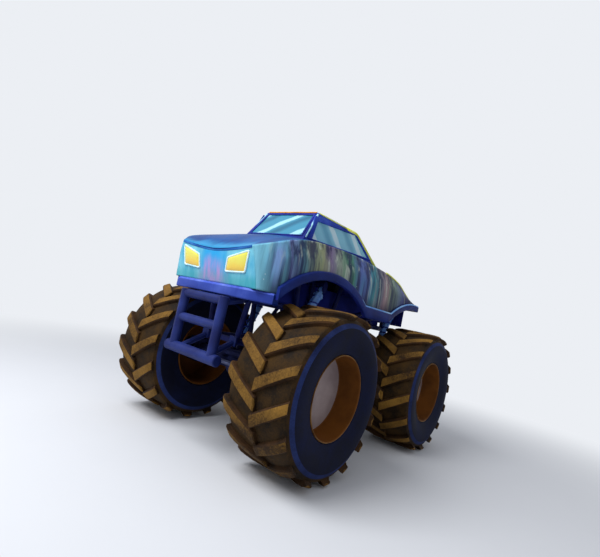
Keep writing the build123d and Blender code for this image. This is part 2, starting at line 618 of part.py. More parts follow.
def build_link_brackets():
    """Clevises for the links: under the belly rails, and on the cross tubes above them."""
    brackets = []
    reach = EYE_W / 2 + SEAT + EAR_T
    (x, y, z), face = LINK_LOW[1], BELLY_Z - TUBE_R
    base = block(x - EYE_R, x + EYE_R, y - reach, y + reach, face - PLATE_T / 2, face)
    brackets.append(fuse(ears(x, y, z, x, face) + [base]))
    (x, y, z), face = LINK_TOP[1], BELLY_X + POST_R
    base = block(face, face + PLATE_T / 2, y - reach, y + reach, z - EYE_R, z + EYE_R)
    brackets.append(fuse(ears(x, y, z, face, z) + [base]))
    front = [side for bracket in brackets for side in both(bracket)]
    save("link_brackets", *front, *[turned(bracket) for bracket in front])


def nose_x(z):
    """Where the slanted nose face stands at a height."""
    return NOSE_BOT_X + (NOSE_TOP_X - NOSE_BOT_X) * (z - BODY_BOTTOM) / (NOSE_TOP_Z - BODY_BOTTOM)


def bumper_back():
    """The bumper's flat rear face in its middle, less the stays' clearance."""
    return nose_x(BODY_BOTTOM) + BUMPER_OUT - BUMPER_DEPTH - SEAT


def build_body_mounts(carriers):
    """Arms and pads that hold the body at its sills, nose and tail, and the bumper's stays."""
    mounts = []
    wall = BODY_HALF - SKIN - SEAT
    for x in SILL_MOUNTS:
        arm = pipe([(x, RAIL_TOP_Y, RAIL_TOP_Z), (x, wall - 30.0, SILL_MOUNT_Z)], POST_R - 8.0, 6)
        half, rise = SILL_PAD
        pad = block(x - half, x + half, wall - 34.0, wall, SILL_MOUNT_Z - rise, SILL_MOUNT_Z + rise)
        mounts.append(fuse([arm, pad]))
    tilt = math.atan2(NOSE_TOP_X - NOSE_BOT_X, NOSE_TOP_Z - BODY_BOTTOM)
    way = Vector(math.cos(tilt), 0, -math.sin(tilt))
    face = Vector(nose_x(NOSE_MOUNT_Z), NOSE_MOUNT_Y, NOSE_MOUNT_Z) - way * (SKIN + SEAT)
    stay = pipe([(FRAME_FRONT, NOSE_MOUNT_Y, RAIL_TOP_Z), face - way * 40.0], 22.0, 6)
    mounts.append(fuse([pipe([face - way * 60.0, face], 30.0), stay]))
    back = (TAIL_X + SKIN + SEAT, RAIL_TOP_Y, TAIL_MOUNT_Z)
    mounts.append(pipe([(TOWER_X[1], RAIL_TOP_Y, TAIL_MOUNT_Z), back], 26.0))
    ends = [(x, BUMPER_STAY_Y, BUMPER_STAY_Z) for x in (FRAME_FRONT - 20.0, bumper_back())]
    mounts.append(pipe(ends, 22.0, 6))
    save("body_mounts", *[side for mount in mounts for side in both(trimmed(mount, *carriers))])


def tow_tab(root_x, eye_x, z):
    """Level plate with a blunt end and an upright hole, from a bar's face to past the hole."""
    half, way = TOW_TAB_HALF, math.copysign(1.0, eye_x - root_x)
    ring = [(root_x, -half), (eye_x, -half), (eye_x + way * half, -half / 2)]
    ring += [(x, -y) for x, y in reversed(ring)]
    hole = rod((eye_x, 0, z - TOW_TAB_T), (eye_x, 0, z + TOW_TAB_T), TOW_EYE_R)
    return plan_prism(ring, z - TOW_TAB_T / 2, z + TOW_TAB_T / 2).cut(hole)


def build_chassis():
    rails = build_rails()
    struts = build_struts(rails)
    tubes = build_cross_tubes(rails + struts)
    towers = build_shock_towers(rails)
    build_link_brackets()
    build_body_mounts(rails + tubes + towers)
    front = tow_tab(SKID_X - SKID_BAR_R, TOW_FRONT_X, SKID_LOW_Z)
    save("tow_tabs", front, tow_tab(FRAME_REAR - POST_R, TOW_REAR_X, RAIL_LOW_Z))


def build_skid_frame():
    """Tube frame ahead of the front axle: a long lower bar, two posts, two cross bars and four braces."""
    x = SKID_X
    end = SKID_BAR_Y - SKID_BAR_END
    turns = [(i + 0.5) * math.pi / 4 for i in range(8)]
    profile = [(-SKID_BAR_Y, 0.62), (-end, 1.0), (end, 1.0), (SKID_BAR_Y, 0.62)]
    corner = SKID_BAR_R / math.cos(math.pi / 8)
    rings = []
    for y, k in profile:
        r = k * corner
        rings.append([(x + r * math.cos(t), y, SKID_LOW_Z + r * math.sin(t)) for t in turns])
    low_bar = tower(rings)
    post = pipe([(x, SKID_POST_Y, SKID_LOW_Z), (x, SKID_POST_Y, SKID_TOP_Z + SKID_CROSS_R)], SKID_POST_R)
    posts = both(trimmed(post, low_bar))
    cross = [drum(x, -SKID_POST_Y, SKID_POST_Y, z, SKID_CROSS_R, 8) for z in (SKID_MID_Z, SKID_TOP_Z)]
    bars = [low_bar] + [trimmed(bar, *posts) for bar in cross]
    save("skid_frame_posts", *posts)
    save("skid_frame_bars", *bars)
    behind = block(FRAME_END - 200.0, FRAME_END, 0.0, SKID_BAR_Y, SKID_LOW_Z, SKID_TOP_Z + 200.0)
    braces = []
    routes = [
        ((RAIL_TOP_Y, RAIL_TOP_Z), (SKID_POST_Y, SKID_TOP_Z - 20.0)),
        ((RAIL_LOW_Y, RAIL_LOW_Z), (RAIL_LOW_Y, SKID_LOW_Z)),
    ]
    for (y, z), (y1, z1) in routes:
        half = PLATE_HALF
        plate = block(FRAME_END, FRAME_END + PLATE_T, y - half, y + half, z - half, z + half)
        tube = pipe([(FRAME_END - 20.0, y, z - 8.0), (x, y1, z1)], SKID_BRACE_R)
        braces += both(trimmed(fuse([plate, trimmed(tube, behind)]), *posts, *bars))
    save("skid_frame_braces", *braces)


def build_cage():
    """Roll cage: main hoop, windscreen hoop, roof bars and rear braces, on plates on the upper rails."""
    floor_z = RAIL_TOP_Z + TUBE_R
    half_x, half_y = CAGE_FOOT
    pieces = []
    for foot_x, hoop in ((CAGE_MAIN_X, MAIN_HOOP), (CAGE_SCREEN_X, SCREEN_HOOP)):
        path = [(foot_x, RAIL_TOP_Y, floor_z)] + hoop
        pieces.append(pipe(path + [(x, -y, z) for x, y, z in reversed(path)], CAGE_R, 6))
    x, y, z = SCREEN_HOOP[0]
    pieces.append(pipe([(x, y, z), (x, -y, z)], CAGE_R, 6))
    for bar in ([MAIN_HOOP[1], SCREEN_HOOP[1]], [MAIN_HOOP[1], (CAGE_BRACE_X, RAIL_TOP_Y, floor_z)]):
        pieces += both(pipe(bar, CAGE_R, 6))
    for x in (CAGE_MAIN_X, CAGE_SCREEN_X, CAGE_BRACE_X):
        y = RAIL_TOP_Y
        pieces += both(block(x - half_x, x + half_x, y - half_y, y + half_y, floor_z, floor_z + PLATE_T))
    below = block(CAGE_BRACE_X - 200.0, CAGE_SCREEN_X + 200.0, -500.0, 500.0, floor_z - 100.0, floor_z)
    save("roll_cage", trimmed(fuse(pieces), below))


# Driveline and cockpit
def build_driveline():
    """Transfer case between the belly rails, two shafts and the engine behind the driver."""
    side = RAIL_LOW_Y - TUBE_R - SEAT
    low, high = CASE_Z
    case = block(-CASE_HALF, CASE_HALF, -side, side, low, high)
    save("transfer_case", fuse([case, drum(-60.0, 40.0 - side, side - 40.0, high, 90.0)]))
    start, end = CASE_HALF + SEAT, AXLE_X - NOSE_L - SEAT
    path = [(start, 0, SHAFT_Z), (start + 60.0, 0, SHAFT_Z), (end - 60.0, 0, HUB_Z), (end, 0, HUB_Z)]
    roots = ((start, SHAFT_Z), (end - COUPLING_L, HUB_Z))
    flanges = [pipe([(x, 0, z), (x + COUPLING_L, 0, z)], COUPLING_R) for x, z in roots]
    shaft = fuse([pipe(path, SHAFT_R)] + flanges)
    save("driveshafts", shaft, turned(shaft))
    base = low_rail_z(ENGINE_MOUNT_X) + POST_R + SEAT
    x0, x1 = ENGINE_X
    engine = [block(x0, x1, -105.0, 105.0, base, base + 380.0)]
    engine.append(block(x0 + 25.0, x1 - 25.0, -100.0, 100.0, base + 370.0, base + 690.0))
    head = [(60.0, base + 290.0), (150.0, base + 270.0), (205.0, base + 470.0), (90.0, base + 530.0)]
    engine += both(front_prism(head, x0 + 10.0, x1 - 10.0))
    middle = (x0 + x1) / 2
    engine.append(drum(middle, -95.0, 95.0, base + 730.0, 95.0))
    engine.append(block(middle - 160.0, middle + 160.0, -100.0, 100.0, base + 670.0, base + 770.0))
    save("engine_block", fuse(engine))


def build_seat(x, z):
    """Centre seat: cushion, back, headrest and side bolsters."""
    cushion = [(x, z), (x + 470.0, z), (x + 490.0, z + 210.0), (x + 100.0, z + 170.0)]
    back = [(x, z), (x + 120.0, z + 160.0), (x - 10.0, z + 720.0)]
    back += [(x - 120.0, z + 720.0), (x - 80.0, z + 160.0)]
    head = [(x - 20.0, z + 700.0), (x - 120.0, z + 700.0), (x - 140.0, z + 860.0), (x - 45.0, z + 860.0)]
    bolster = [(x - 10.0, z + 60.0), (x + 460.0, z + 60.0), (x + 480.0, z + 260.0), (x + 50.0, z + 300.0)]
    halves = ((cushion, 215.0), (back, 210.0), (head, 120.0))
    pieces = [side_prism(ring, -half, half) for ring, half in halves]
    return fuse(pieces + both(side_prism(bolster, 175.0, 225.0)))


def build_steering_wheel(x, z, column_end):
    """Twelve-sided ring on two spokes and a column."""
    turns = [(i + 0.5) * math.pi / 6 for i in range(12)]
    outer, hole = [
        front_prism([(r * math.cos(t), z + r * math.sin(t)) for t in turns], x - 14.0, x + 14.0)
        for r in (STEER_WHEEL_R, STEER_WHEEL_R - 30.0)
    ]
    spoke = block(x - 8.0, x + 8.0, 20.0 - STEER_WHEEL_R, STEER_WHEEL_R - 20.0, z - 14.0, z + 14.0)
    return fuse([outer.cut(hole), spoke, pipe([(x - 12.0, 0, z), (column_end, 0, z)], 26.0)])


def build_cockpit():
    """Floor on the cross tubes, a centre seat, a dashboard on a shock tower's bar and a steering wheel."""
    floor_z = RAIL_TOP_Z + POST_R + SEAT
    side = RAIL_TOP_Y - 50.0
    save("cockpit_floor", block(-470.0, 980.0, -side, side, floor_z, floor_z + PLATE_T))
    save("driver_seat", build_seat(SEAT_X, floor_z + PLATE_T))
    z, x = TOWER_Z + POST_R + SEAT, TOWER_X[0] - 50.0
    ring = [(x, z), (x + DASH_DEPTH, z), (x + DASH_DEPTH + 60.0, z + 200.0), (x, z + 150.0)]
    save("dashboard", side_prism(ring, -390.0, 390.0))
    save("cab_steering_wheel", build_steering_wheel(x - 120.0, z + 80.0, x - SEAT))


# Body
def body_block(inset):
    """Lower body from its stations, every wall drawn in by the inset."""
    rings = []
    for x, yb, ys, zs, yt, zt, zc in BODY_STATIONS:
        bottom = -80.0 if inset else 0.0
        half = [(yb - inset, bottom), (ys - inset, zs - inset / 2), (yt - inset / 2, zt - inset)]
        ring = raised(half + [(0.0, zc - inset)] + [(-y, z) for y, z in reversed(half)])
        rings.append([(x, y, z) for y, z in ring])
    low, high = 0.0, BEYOND
    side = [(TAIL_X + inset, low), (TAIL_X + inset, high)]
    side += [(nose_x(z) - inset * 1.02, z) for z in (high, low)]
    return common(loft(rings), side_prism(side, -BEYOND, BEYOND))


def cab_block(inset):
    """Cab as a stack of rings with level edges, every wall drawn in by the inset."""
    rings = []
    for i, (z, front, rear, half) in enumerate(CAB_SECTIONS):
        z += BODY_BOTTOM - (inset if i else 0.0)
        a, b, f = front - inset * 1.2, rear + inset * 1.2, half - inset
        g = f + CAB_FLARE * (a - b)
        rings.append([(a, -f, z), (a, f, z), (b, g, z), (b, -g, z)])
    if inset:
        rings.insert(0, [(x, y, BODY_CUT_Z) for x, y, _ in rings[0]])
    return tower(rings)


def raised(points):
    """Points whose last value is a height above the body's lower edge, as heights above the ground."""
    return [(a, z + BODY_BOTTOM) for a, z in points]


def shrink(points, by):
    """A convex polygon drawn in on every side."""
    n, lines = len(points), []
    area = sum(points[i - 1][0] * points[i][1] - points[i][0] * points[i - 1][1] for i in range(n))
    sign = math.copysign(1.0, area)
    for i in range(n):
        (x0, y0), (x1, y1) = points[i], points[(i + 1) % n]
        length = math.hypot(x1 - x0, y1 - y0)
        nx, ny = -(y1 - y0) / length * sign, (x1 - x0) / length * sign
        lines.append((nx, ny, nx * x0 + ny * y0 + by))
    out = []
    for i in range(n):
        (a, b, c), (d, e, f) = lines[i - 1], lines[i]
        det = a * e - b * d
        out.append(((c * e - b * f) / det, (a * f - c * d) / det))
    return out


def screen_ring(edges):
    (w0, z0), (w1, z1) = edges
    return [(-w0, z0), (w0, z0), (w1, z1), (-w1, z1)]


def window_tools(by):
    """Prisms through the window openings, drawn in on every side, by node name."""
    middle = (CAB_SECTIONS[0][1] + CAB_SECTIONS[0][2]) / 2
    return {
        "side_glass": both(side_prism(raised(shrink(SIDE_WINDOW, by)), 0.0, BODY_HALF)),
        "windscreen": [front_prism(raised(shrink(screen_ring(SCREEN), by)), middle, middle + BEYOND)],
        "rear_glass": [front_prism(raised(shrink(screen_ring(REAR_SCREEN), by)), middle - BEYOND, middle)],
    }


def build_windows():
    """Panes let into the cab's walls; returns the openings' prisms."""
    slab = cab_block(GLASS_IN).cut(cab_block(GLASS_IN + GLASS_T))
    for name, tools in window_tools(SEAT).items():
        save(name, *[common(slab, tool) for tool in tools])
    return [tool for tools in window_tools(0.0).values() for tool in tools]


def build_lamps():
    """Headlamps in the nose and tail lamps; returns the openings' prisms."""
    # z, depth behind the nose's face
    low, high = BODY_BOTTOM, NOSE_TOP_Z
    depth = ((low, 46.0), (low, 4.0), (high, 4.0), (high, 46.0))
    slab = side_prism([(nose_x(z) - d, z) for z, d in depth], 0.0, BODY_HALF)
    x0, x1 = NOSE_BOT_X - 100.0, NOSE_TOP_X + 100.0
    save("headlamps", *both(common(front_prism(raised(shrink(LAMP, SEAT)), x0, x1), slab)))
    (y0, z0), (y1, z1) = raised([(TAIL_LAMP[0], TAIL_LAMP[2]), (TAIL_LAMP[1], TAIL_LAMP[3])])
    tail_lamp = block(TAIL_X + 2.0, TAIL_X + 40.0, y0 + SEAT, y1 - SEAT, z0 + SEAT, z1 - SEAT)
    save("tail_lamps", *both(tail_lamp))
    tail_hole = block(TAIL_X - 10.0, TAIL_X + 60.0, y0, y1, z0, z1)
    return both(front_prism(raised(LAMP), x0, x1)) + both(tail_hole)


def arch_disc(arch, grow, y0, y1):
    """Many-sided disc over a wheel, its radius grown."""
    x, z, r = arch
    turns = [(i + 0.5) * 2 * math.pi / ARCH_SIDES for i in range(ARCH_SIDES)]
    return side_prism([(x + (r + grow) * math.cos(t), z + (r + grow) * math.sin(t)) for t in turns], y0, y1)


def build_body():
    """Hollow body in its real panels: nose, hood, cab, rear deck with the tail, and the two sides."""
    cuts = build_windows() + build_lamps()
    for arch in (ARCH_FRONT, ARCH_REAR):
        cuts += both(arch_disc(arch, 0.0, ARCH_IN_Y, BEYOND))
    outer = fuse([body_block(0.0), cab_block(0.0)])
    shell = single(outer.cut(fuse([body_block(SKIN), cab_block(SKIN)]), *cuts))
    low, high = 0.0, BEYOND
    front = [(nose_x(z) - SKIN * 1.02, z) for z in (low, high)] + [(BEYOND, high), (BEYOND, low)]
    nose_slab = side_prism(front, -BEYOND, BEYOND)
    nose = common(shell, nose_slab)
    rest = single(shell.cut(nose_slab))
    edge = [(x, shoulder - SEAM_IN) for x, _, _, _, shoulder, _, _ in BODY_STATIONS]
    edge.append((TAIL_X - 50.0, edge[-1][1]))
    between = plan_prism(edge + [(x, -y) for x, y in reversed(edge)], low, high)
    top = common(rest, between)
    _, cab_front, cab_rear, _ = CAB_SECTIONS[0]
    ahead = block(cab_front + SEAM_IN, BEYOND, -BEYOND, BEYOND, low, high)
    behind = block(-BEYOND, cab_rear - SEAM_IN, -BEYOND, BEYOND, low, high)
    save("nose_panel", nose)
    save("hood", common(top, ahead))
    save("rear_deck", common(top, behind))
    save("cab_shell", single(top.cut(ahead, behind)))
    save("body_sides", single(rest.cut(between)))
    build_trim()
    build_bumper()


def build_trim():
    """Flare over each arch and the sill between them, flat on the body's side."""
    y0, y1 = BODY_HALF, BODY_HALF + FLARE_OUT
    pieces = [arch_disc(arch, FLARE_W, y0, y1) for arch in (ARCH_FRONT, ARCH_REAR)]
    pieces.append(block(*SILL_X, y0, y1, SILL_BOTTOM, SILL_TOP))
    keep = [(TAIL_X, SILL_BOTTOM), (BEND_X, SILL_BOTTOM), (BEND_X, FLARE_FOOT_Z)]
    keep += [(FLARE_FRONT_X, FLARE_FOOT_Z), (FLARE_FRONT_X, BEYOND), (TAIL_X, BEYOND)]
    holes = [arch_disc(arch, 0.0, y0 - 1.0, y1 + 1.0) for arch in (ARCH_FRONT, ARCH_REAR)]
    trim = single(common(fuse(pieces), side_prism(keep, y0, y1)).cut(*holes))
    save("lower_trim_left", trim)
    save("lower_trim_right", flip(trim))


def build_bumper():
    """Bumper wrapped under the nose, open behind."""
    front, corner, back = nose_x(BODY_BOTTOM) + BUMPER_OUT, BUMPER_CORNER_X, BUMPER_BACK_X
    side, d = BODY_HALF - SEAT, BUMPER_DEPTH
    half = [(back, -side), (corner, -side), (front, -BUMPER_FRONT_Y)]
    plan = half + [(x, -y) for x, y in reversed(half)]
    half = [(back - 1.0, d - side), (corner - 30.0, d - side), (front - d, 42.0 - BUMPER_FRONT_Y)]
    core = half + [(x, -y) for x, y in reversed(half)]
    z0, z1 = BUMPER_BOTTOM, BODY_BOTTOM
    save("front_bumper", plan_prism(plan, z0, z1).cut(plan_prism(core, z0 - 1.0, z1 + 1.0)))


if __name__ == "__main__":
    os.makedirs("parts", exist_ok=True)
    build_wheels()
    build_axles()
    build_suspension()
    build_chassis()
    build_skid_frame()
    build_cage()
    build_driveline()
    build_cockpit()
    build_body()
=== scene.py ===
import json
import logging
import math
from collections.abc import Sequence
from dataclasses import dataclass, field
from enum import Enum

import bmesh
import bpy
import numpy as np
from mathutils import Matrix, Vector


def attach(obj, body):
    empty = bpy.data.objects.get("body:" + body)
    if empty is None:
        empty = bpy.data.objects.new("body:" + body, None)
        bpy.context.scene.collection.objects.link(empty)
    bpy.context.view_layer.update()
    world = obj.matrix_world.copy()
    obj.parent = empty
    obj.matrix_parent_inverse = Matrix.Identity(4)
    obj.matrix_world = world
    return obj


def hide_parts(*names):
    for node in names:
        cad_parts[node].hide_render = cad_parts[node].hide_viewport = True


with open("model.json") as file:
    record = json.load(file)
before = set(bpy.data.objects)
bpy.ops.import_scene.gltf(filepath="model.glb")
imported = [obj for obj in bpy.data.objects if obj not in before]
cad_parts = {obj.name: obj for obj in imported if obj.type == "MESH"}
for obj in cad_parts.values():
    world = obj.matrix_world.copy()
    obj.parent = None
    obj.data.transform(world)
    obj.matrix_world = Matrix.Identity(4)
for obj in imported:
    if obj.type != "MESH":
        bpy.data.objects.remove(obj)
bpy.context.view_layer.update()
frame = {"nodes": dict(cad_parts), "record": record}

Array = np.ndarray
Pair = tuple[float, float]
Pairs = tuple[Pair, ...]
Triple = tuple[float, float, float]
Point = Triple
Colour = tuple[float, float, float, float]
Socket = bpy.types.NodeSocket
Material = bpy.types.Material
Piece = bpy.types.Object
log = logging.getLogger("monster_truck")

BODY_CORE = (0.0, 0.0, 1.9)  # a point inside the body, which its panels face away from
CAB_CORE = (0.4, 0.0, 2.6)  # the same for the cab's
NOSE_AWAY = (1.0, 0.0, 1.9)  # the same for the headlamps
TAIL_AWAY = (-1.0, 0.0, 1.9)  # the same for the tail lamps
MERGED = 2e-5  # points nearer to each other than this become one
SHORT = 1e-6  # edges shorter than this are dissolved
BLUNT = 0.14  # how far from a tube's end it has its full size, in radii
BLUNT_SIZE = 0.84  # its size at the end, in radii


class Side(Enum):
    """The truck's two sides, by the sign of Y."""

    LEFT = 1
    RIGHT = -1

    @property
    def word(self) -> str:
        """The side's name as the nodes spell it."""
        return self.name.lower()


class End(Enum):
    """The truck's two ends, by the sign of X."""

    FRONT = 1
    REAR = -1

    @property
    def word(self) -> str:
        """The end's name as the nodes spell it."""
        return self.name.lower()


# Shapes


def rgb(code: str) -> Colour:
    """Linear colour from a six-digit screen colour.

    Args:
        code: red, green and blue as two hexadecimal digits each.

    Returns:
        Red, green, blue and an alpha of 1, for a shader socket.
    """
    parts = np.array([int(code[i : i + 2], 16) for i in (0, 2, 4)]) / 255.0
    linear = np.where(parts <= 0.04045, parts / 12.92, ((parts + 0.055) / 1.055) ** 2.4)
    red, green, blue = linear.tolist()
    return (red, green, blue, 1.0)


def smooth_table(x: Array, xs: Sequence[float], ys: Sequence[float]) -> Array:
    """Smooth curve through a table, which never overshoots it.

    Cubic pieces, whose slope at each entry is the harmonic mean of the slopes on its two sides, or
    level where those differ in sign.

    Args:
        x: where the curve is read.
        xs: the table's places, ascending.
        ys: the table's values.

    Returns:
        The curve's values at x.
    """
    xs, ys = np.asarray(xs, float), np.asarray(ys, float)
    rise = np.diff(ys) / np.diff(xs)
    total = rise[:-1] + rise[1:]
    same = rise[:-1] * rise[1:] > 0
    inner = np.where(same, 2 * rise[:-1] * rise[1:] / np.where(same, total, 1.0), 0.0)
    slope = np.concatenate([rise[:1], inner, rise[-1:]])
    i = np.clip(np.searchsorted(xs, x) - 1, 0, len(xs) - 2)
    h = xs[i + 1] - xs[i]
    t = (x - xs[i]) / h
    near = (2 * t**3 - 3 * t**2 + 1) * ys[i] + (t**3 - 2 * t**2 + t) * h * slope[i]
    return near + (3 * t**2 - 2 * t**3) * ys[i + 1] + (t**3 - t**2) * h * slope[i + 1]


def smoothstep(x: Array, low: float, high: float) -> Array:
    """Soft step from 0 to 1: three times the square less twice the cube of the share of the way.

    Args:
        x: where the step is read.
        low: where it starts.
        high: where it ends.

    Returns:
        The step's values at x.
    """
    t = np.clip((x - low) / (high - low), 0.0, 1.0)
    return t * t * (3 - 2 * t)


def ramp(x: Array, rise: Triple) -> Array:
    """Soft step from 0 to a height, given as that height and the places where it starts and ends."""
    height, low, high = rise
    return height * smoothstep(x, low, high)


def unit(v: Array) -> Array:
    """Vectors of length 1 along the last axis."""
    return v / np.maximum(np.linalg.norm(v, axis=-1, keepdims=True), 1e-9)


def eased(count: int) -> Array:
    """Shares from -1 to 1, closer together at both ends: the sine of even steps."""
    return np.sin(np.linspace(-np.pi / 2, np.pi / 2, count))


def mirrored(points: Array, side: Side) -> Array:
    """Points of the left side as they are, or their mirror image on the right."""
    return points * np.array([1.0, side.value, 1.0])


def bent(before: Array, corner: Array, after: Array, reach: float, t: Array) -> Array:
    """Parabola round a corner: (1 - t)^2 of its start, 2t(1 - t) of the corner and t^2 of its end.

    Args:
        before: a point on the line before the corner.
        corner: the corner.
        after: a point on the line after it.
        reach: how far from the corner the parabola starts and ends.
        t: shares of the way, as a column.

    Returns:
        The parabola's points.
    """
    start = corner + unit(before - corner) * reach
    end = corner + unit(after - corner) * reach
    return (1 - t) ** 2 * start + 2 * t * (1 - t) * corner + t**2 * end


def lathe(profile: Sequence[Pair], centre: Point, steps: int, way: int = 1) -> Array:
    """Profile turned about a line along Y: each point is (r cos a, y, r sin a) from the centre.

    Args:
        profile: y and radius of each ring.
        centre: a point on the line.
        steps: points in a ring.
        way: 1, or -1 to mirror the profile's y.

    Returns:
        Grid of rings by steps, to be closed along its columns.
    """
    y, r = np.array(profile).T
    a = np.arange(steps) * 2 * np.pi / steps
    ring = [np.outer(r, np.cos(a)), np.outer(way * y, np.ones(steps)), np.outer(r, np.sin(a))]
    return np.stack(ring, axis=-1) + np.array(centre)


def rounded(path: Sequence[Point], bend: float, steps: int = 7) -> Array:
    """Polyline whose corners are replaced by short parabolas.

    Args:
        path: the corners.
        bend: how far from a corner its parabola starts, at most 0.45 of a run.
        steps: points in a parabola.

    Returns:
        The points of the rounded line.
    """
    points = np.array(path, float)
    runs = np.linalg.norm(np.diff(points, axis=0), axis=1)
    t = np.linspace(0, 1, steps)[:, None]
    pieces = [points[:1]]
    for i in range(1, len(points) - 1):
        reach = min(bend, 0.45 * runs[i - 1], 0.45 * runs[i])
        pieces.append(bent(*points[i - 1 : i + 2], reach, t))
    return np.concatenate([*pieces, points[-1:]])


def frames_along(path: Array, closed: bool = False) -> tuple[Array, Array, Array]:
    """Direction of a path and two directions across it, at each point.

    The first across is the direction crossed with the axis that the path follows least.

    Args:
        path: the points.
        closed: whether the last point leads back to the first.

    Returns:
        Along, across and over, each of length 1.
    """
    ring = np.concatenate([path[-1:], path, path[:1]]) if closed else path
    runs = unit(np.diff(ring, axis=0))
    if not closed:
        runs = np.concatenate([runs[:1], runs, runs[-1:]])
    along = unit(runs[:-1] + runs[1:])
    reference = np.eye(3)[np.argmin(np.abs(along).max(axis=0))]
    across = unit(np.cross(along, reference))
    return along, across, np.cross(across, along)


def tube(path: Sequence[Point] | Array, radius: float, sides: int = 16, closed: bool = False) -> Array:
    """Round tube along a path, with softly blunt ends.

    Args:
        path: the points of its centre line.
        radius: of the tube.
        sides: points round it.
        closed: whether the path is a loop, which has no ends.

    Returns:
        Grid of rings by sides, to be closed along its columns.
    """
    path = np.array(path, float)
    along, across, over = frames_along(path, closed)
    size = np.full(len(path), radius)
    if not closed:
        rings = np.array([0, 0, *range(len(path)), -1, -1])
        path, across, over = path[rings], across[rings], over[rings]
        path[2] += along[0] * BLUNT * radius
        path[-3] -= along[-1] * BLUNT * radius
        size = np.concatenate([[0.0, BLUNT_SIZE * radius], size, [BLUNT_SIZE * radius, 0.0]])
    a = np.arange(sides) * 2 * np.pi / sides
    offset = across[:, None] * np.cos(a)[:, None] + over[:, None] * np.sin(a)[:, None]
    return path[:, None] + offset * size[:, None, None]


def carried(path: Array, profile: Sequence[Pair], out: Array, up: Array) -> Array:
    """Profile carried along a path: each point is the path's, plus a step out and a step up.

    Args:
        path: the points that the profile is carried along.
        profile: steps out and up of the profile's corners.
        out: direction of the first step at each point.
        up: direction of the second step at each point.

    Returns:
        Grid of path points by corners.
    """
    steps = np.array(profile)
    return path[:, None] + steps[None, :, :1] * out[:, None] + steps[None, :, 1:] * up[:, None]


def gathered(ring: Array) -> Array:
    """A ring's points drawn together at its middle, as a grid of one row."""
    return np.broadcast_to(ring.mean(axis=0), ring.shape)[None]


def capped(grid: Array) -> Array:
    """A grid of rings that is closed at both ends by drawing them together at their middles.

    Args:
        grid: rings by points.

    Returns:
        The grid, with one ring more at each end.
    """
    return np.concatenate([gathered(grid[0]), grid, gathered(grid[-1])])


class Skin:
    """Faces of one piece, gathered patch by patch and put into Blender as one mesh."""

    def __init__(self, name: str) -> None:
        """Starts an empty piece.

        Args:
            name: of the object and its mesh.
        """
        self.name = name
        self.points: list[Array] = []
        self.faces: list[Array] = []
        self.slots: list[Array] = []
        self.total = 0

    def grid(
        self,
        points: Array,
        slot: int | Array = 0,
        away: Point | None = None,
        loop_rows: bool = False,
        loop_cols: bool = False,
    ) -> None:
        """Adds a grid of four-sided faces.

        Args:
            points: rows by columns by 3.
            slot: material slot of all the faces, or an array that spreads over the faces' grid.
            away: a point that the faces look away from, on the whole.
            loop_rows: whether the last row joins the first.
            loop_cols: whether the last column joins the first.
        """
        rows, cols = points.shape[:2]
        index = np.arange(rows * cols).reshape(rows, cols)
        if loop_rows:
            index = np.vstack([index, index[:1]])
        if loop_cols:
            index = np.hstack([index, index[:, :1]])
        corners = [index[:-1, :-1], index[1:, :-1], index[1:, 1:], index[:-1, 1:]]
        faces = np.stack(corners, axis=-1).reshape(-1, 4)
        flat = points.reshape(-1, 3)
        if away is not None:
            ring = flat[faces]
            normal = np.cross(ring[:, 2] - ring[:, 0], ring[:, 3] - ring[:, 1])
            if np.sum(normal * (ring.mean(axis=1) - np.array(away))) < 0:
                faces = faces[:, ::-1]
        shape = (index.shape[0] - 1, index.shape[1] - 1)
        self.points.append(flat)
        self.faces.append(faces + self.total)
        self.slots.append(np.broadcast_to(slot, shape).reshape(-1))
        self.total += len(flat)

    def make(
        self,
        materials: Sequence[Material],
        closed: bool = True,
        sharp: float = 35.0,
        wall: float = 0.0,
        bevel: float = 0.0,
    ) -> Piece:
        """Makes the object, with its doubles merged.

        Args:
            materials: by slot; with a wall, the last one lines its inner side.
            closed: whether the piece is closed, so that its faces can be turned outwards.
            sharp: degrees past which an edge isn't shaded smooth.
            wall: thickness that is added inwards.
            bevel: width of the rounding of the sharp edges.

        Returns:
            The new object, at the origin.
        """
        mesh = bpy.data.meshes.new(self.name)
        mesh.from_pydata(np.concatenate(self.points).tolist(), [], np.concatenate(self.faces).tolist())
        mesh.polygons.foreach_set("material_index", np.concatenate(self.slots).astype(np.int32))
        for material in materials:
            mesh.materials.append(material)
        work = bmesh.new()
        work.from_mesh(mesh)
        bmesh.ops.remove_doubles(work, verts=work.verts, dist=MERGED)
        bmesh.ops.dissolve_degenerate(work, edges=work.edges, dist=SHORT)
        if closed:
            bmesh.ops.recalc_face_normals(work, faces=work.faces)
        work.to_mesh(mesh)
        work.free()
        mesh.shade_smooth()
        mesh.set_sharp_from_angle(angle=math.radians(sharp))
        piece = bpy.data.objects.new(self.name, mesh)
        bpy.context.scene.collection.objects.link(piece)
        if wall:
            solidify = piece.modifiers.new("wall", "SOLIDIFY")
            solidify.thickness = wall
            solidify.offset = -1.0
            solidify.use_even_offset = True
            solidify.thickness_clamp = 1.0
            solidify.material_offset = len(materials)
            solidify.material_offset_rim = len(materials)
        if bevel:
            soften = piece.modifiers.new("edges", "BEVEL")
            soften.width = bevel
            soften.segments = 2
            soften.limit_method = "ANGLE"
            soften.angle_limit = math.radians(sharp)
        return piece


def settle(piece: Piece, body: str, slot: str, *nodes: str) -> None:
    """Puts a finished piece on its body and in place of its nodes, and reports it.

    Args:
        piece: the new object.
        body: the moving body that it rides on.
        slot: the record's material slot of the piece; not used.
        nodes: the frame's nodes that it stands for.
    """
    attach(piece, body)
    if nodes:
        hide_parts(*nodes)
    log.info("%s: %d faces, rides on %s", piece.name, len(piece.data.polygons), body)


# Finishes


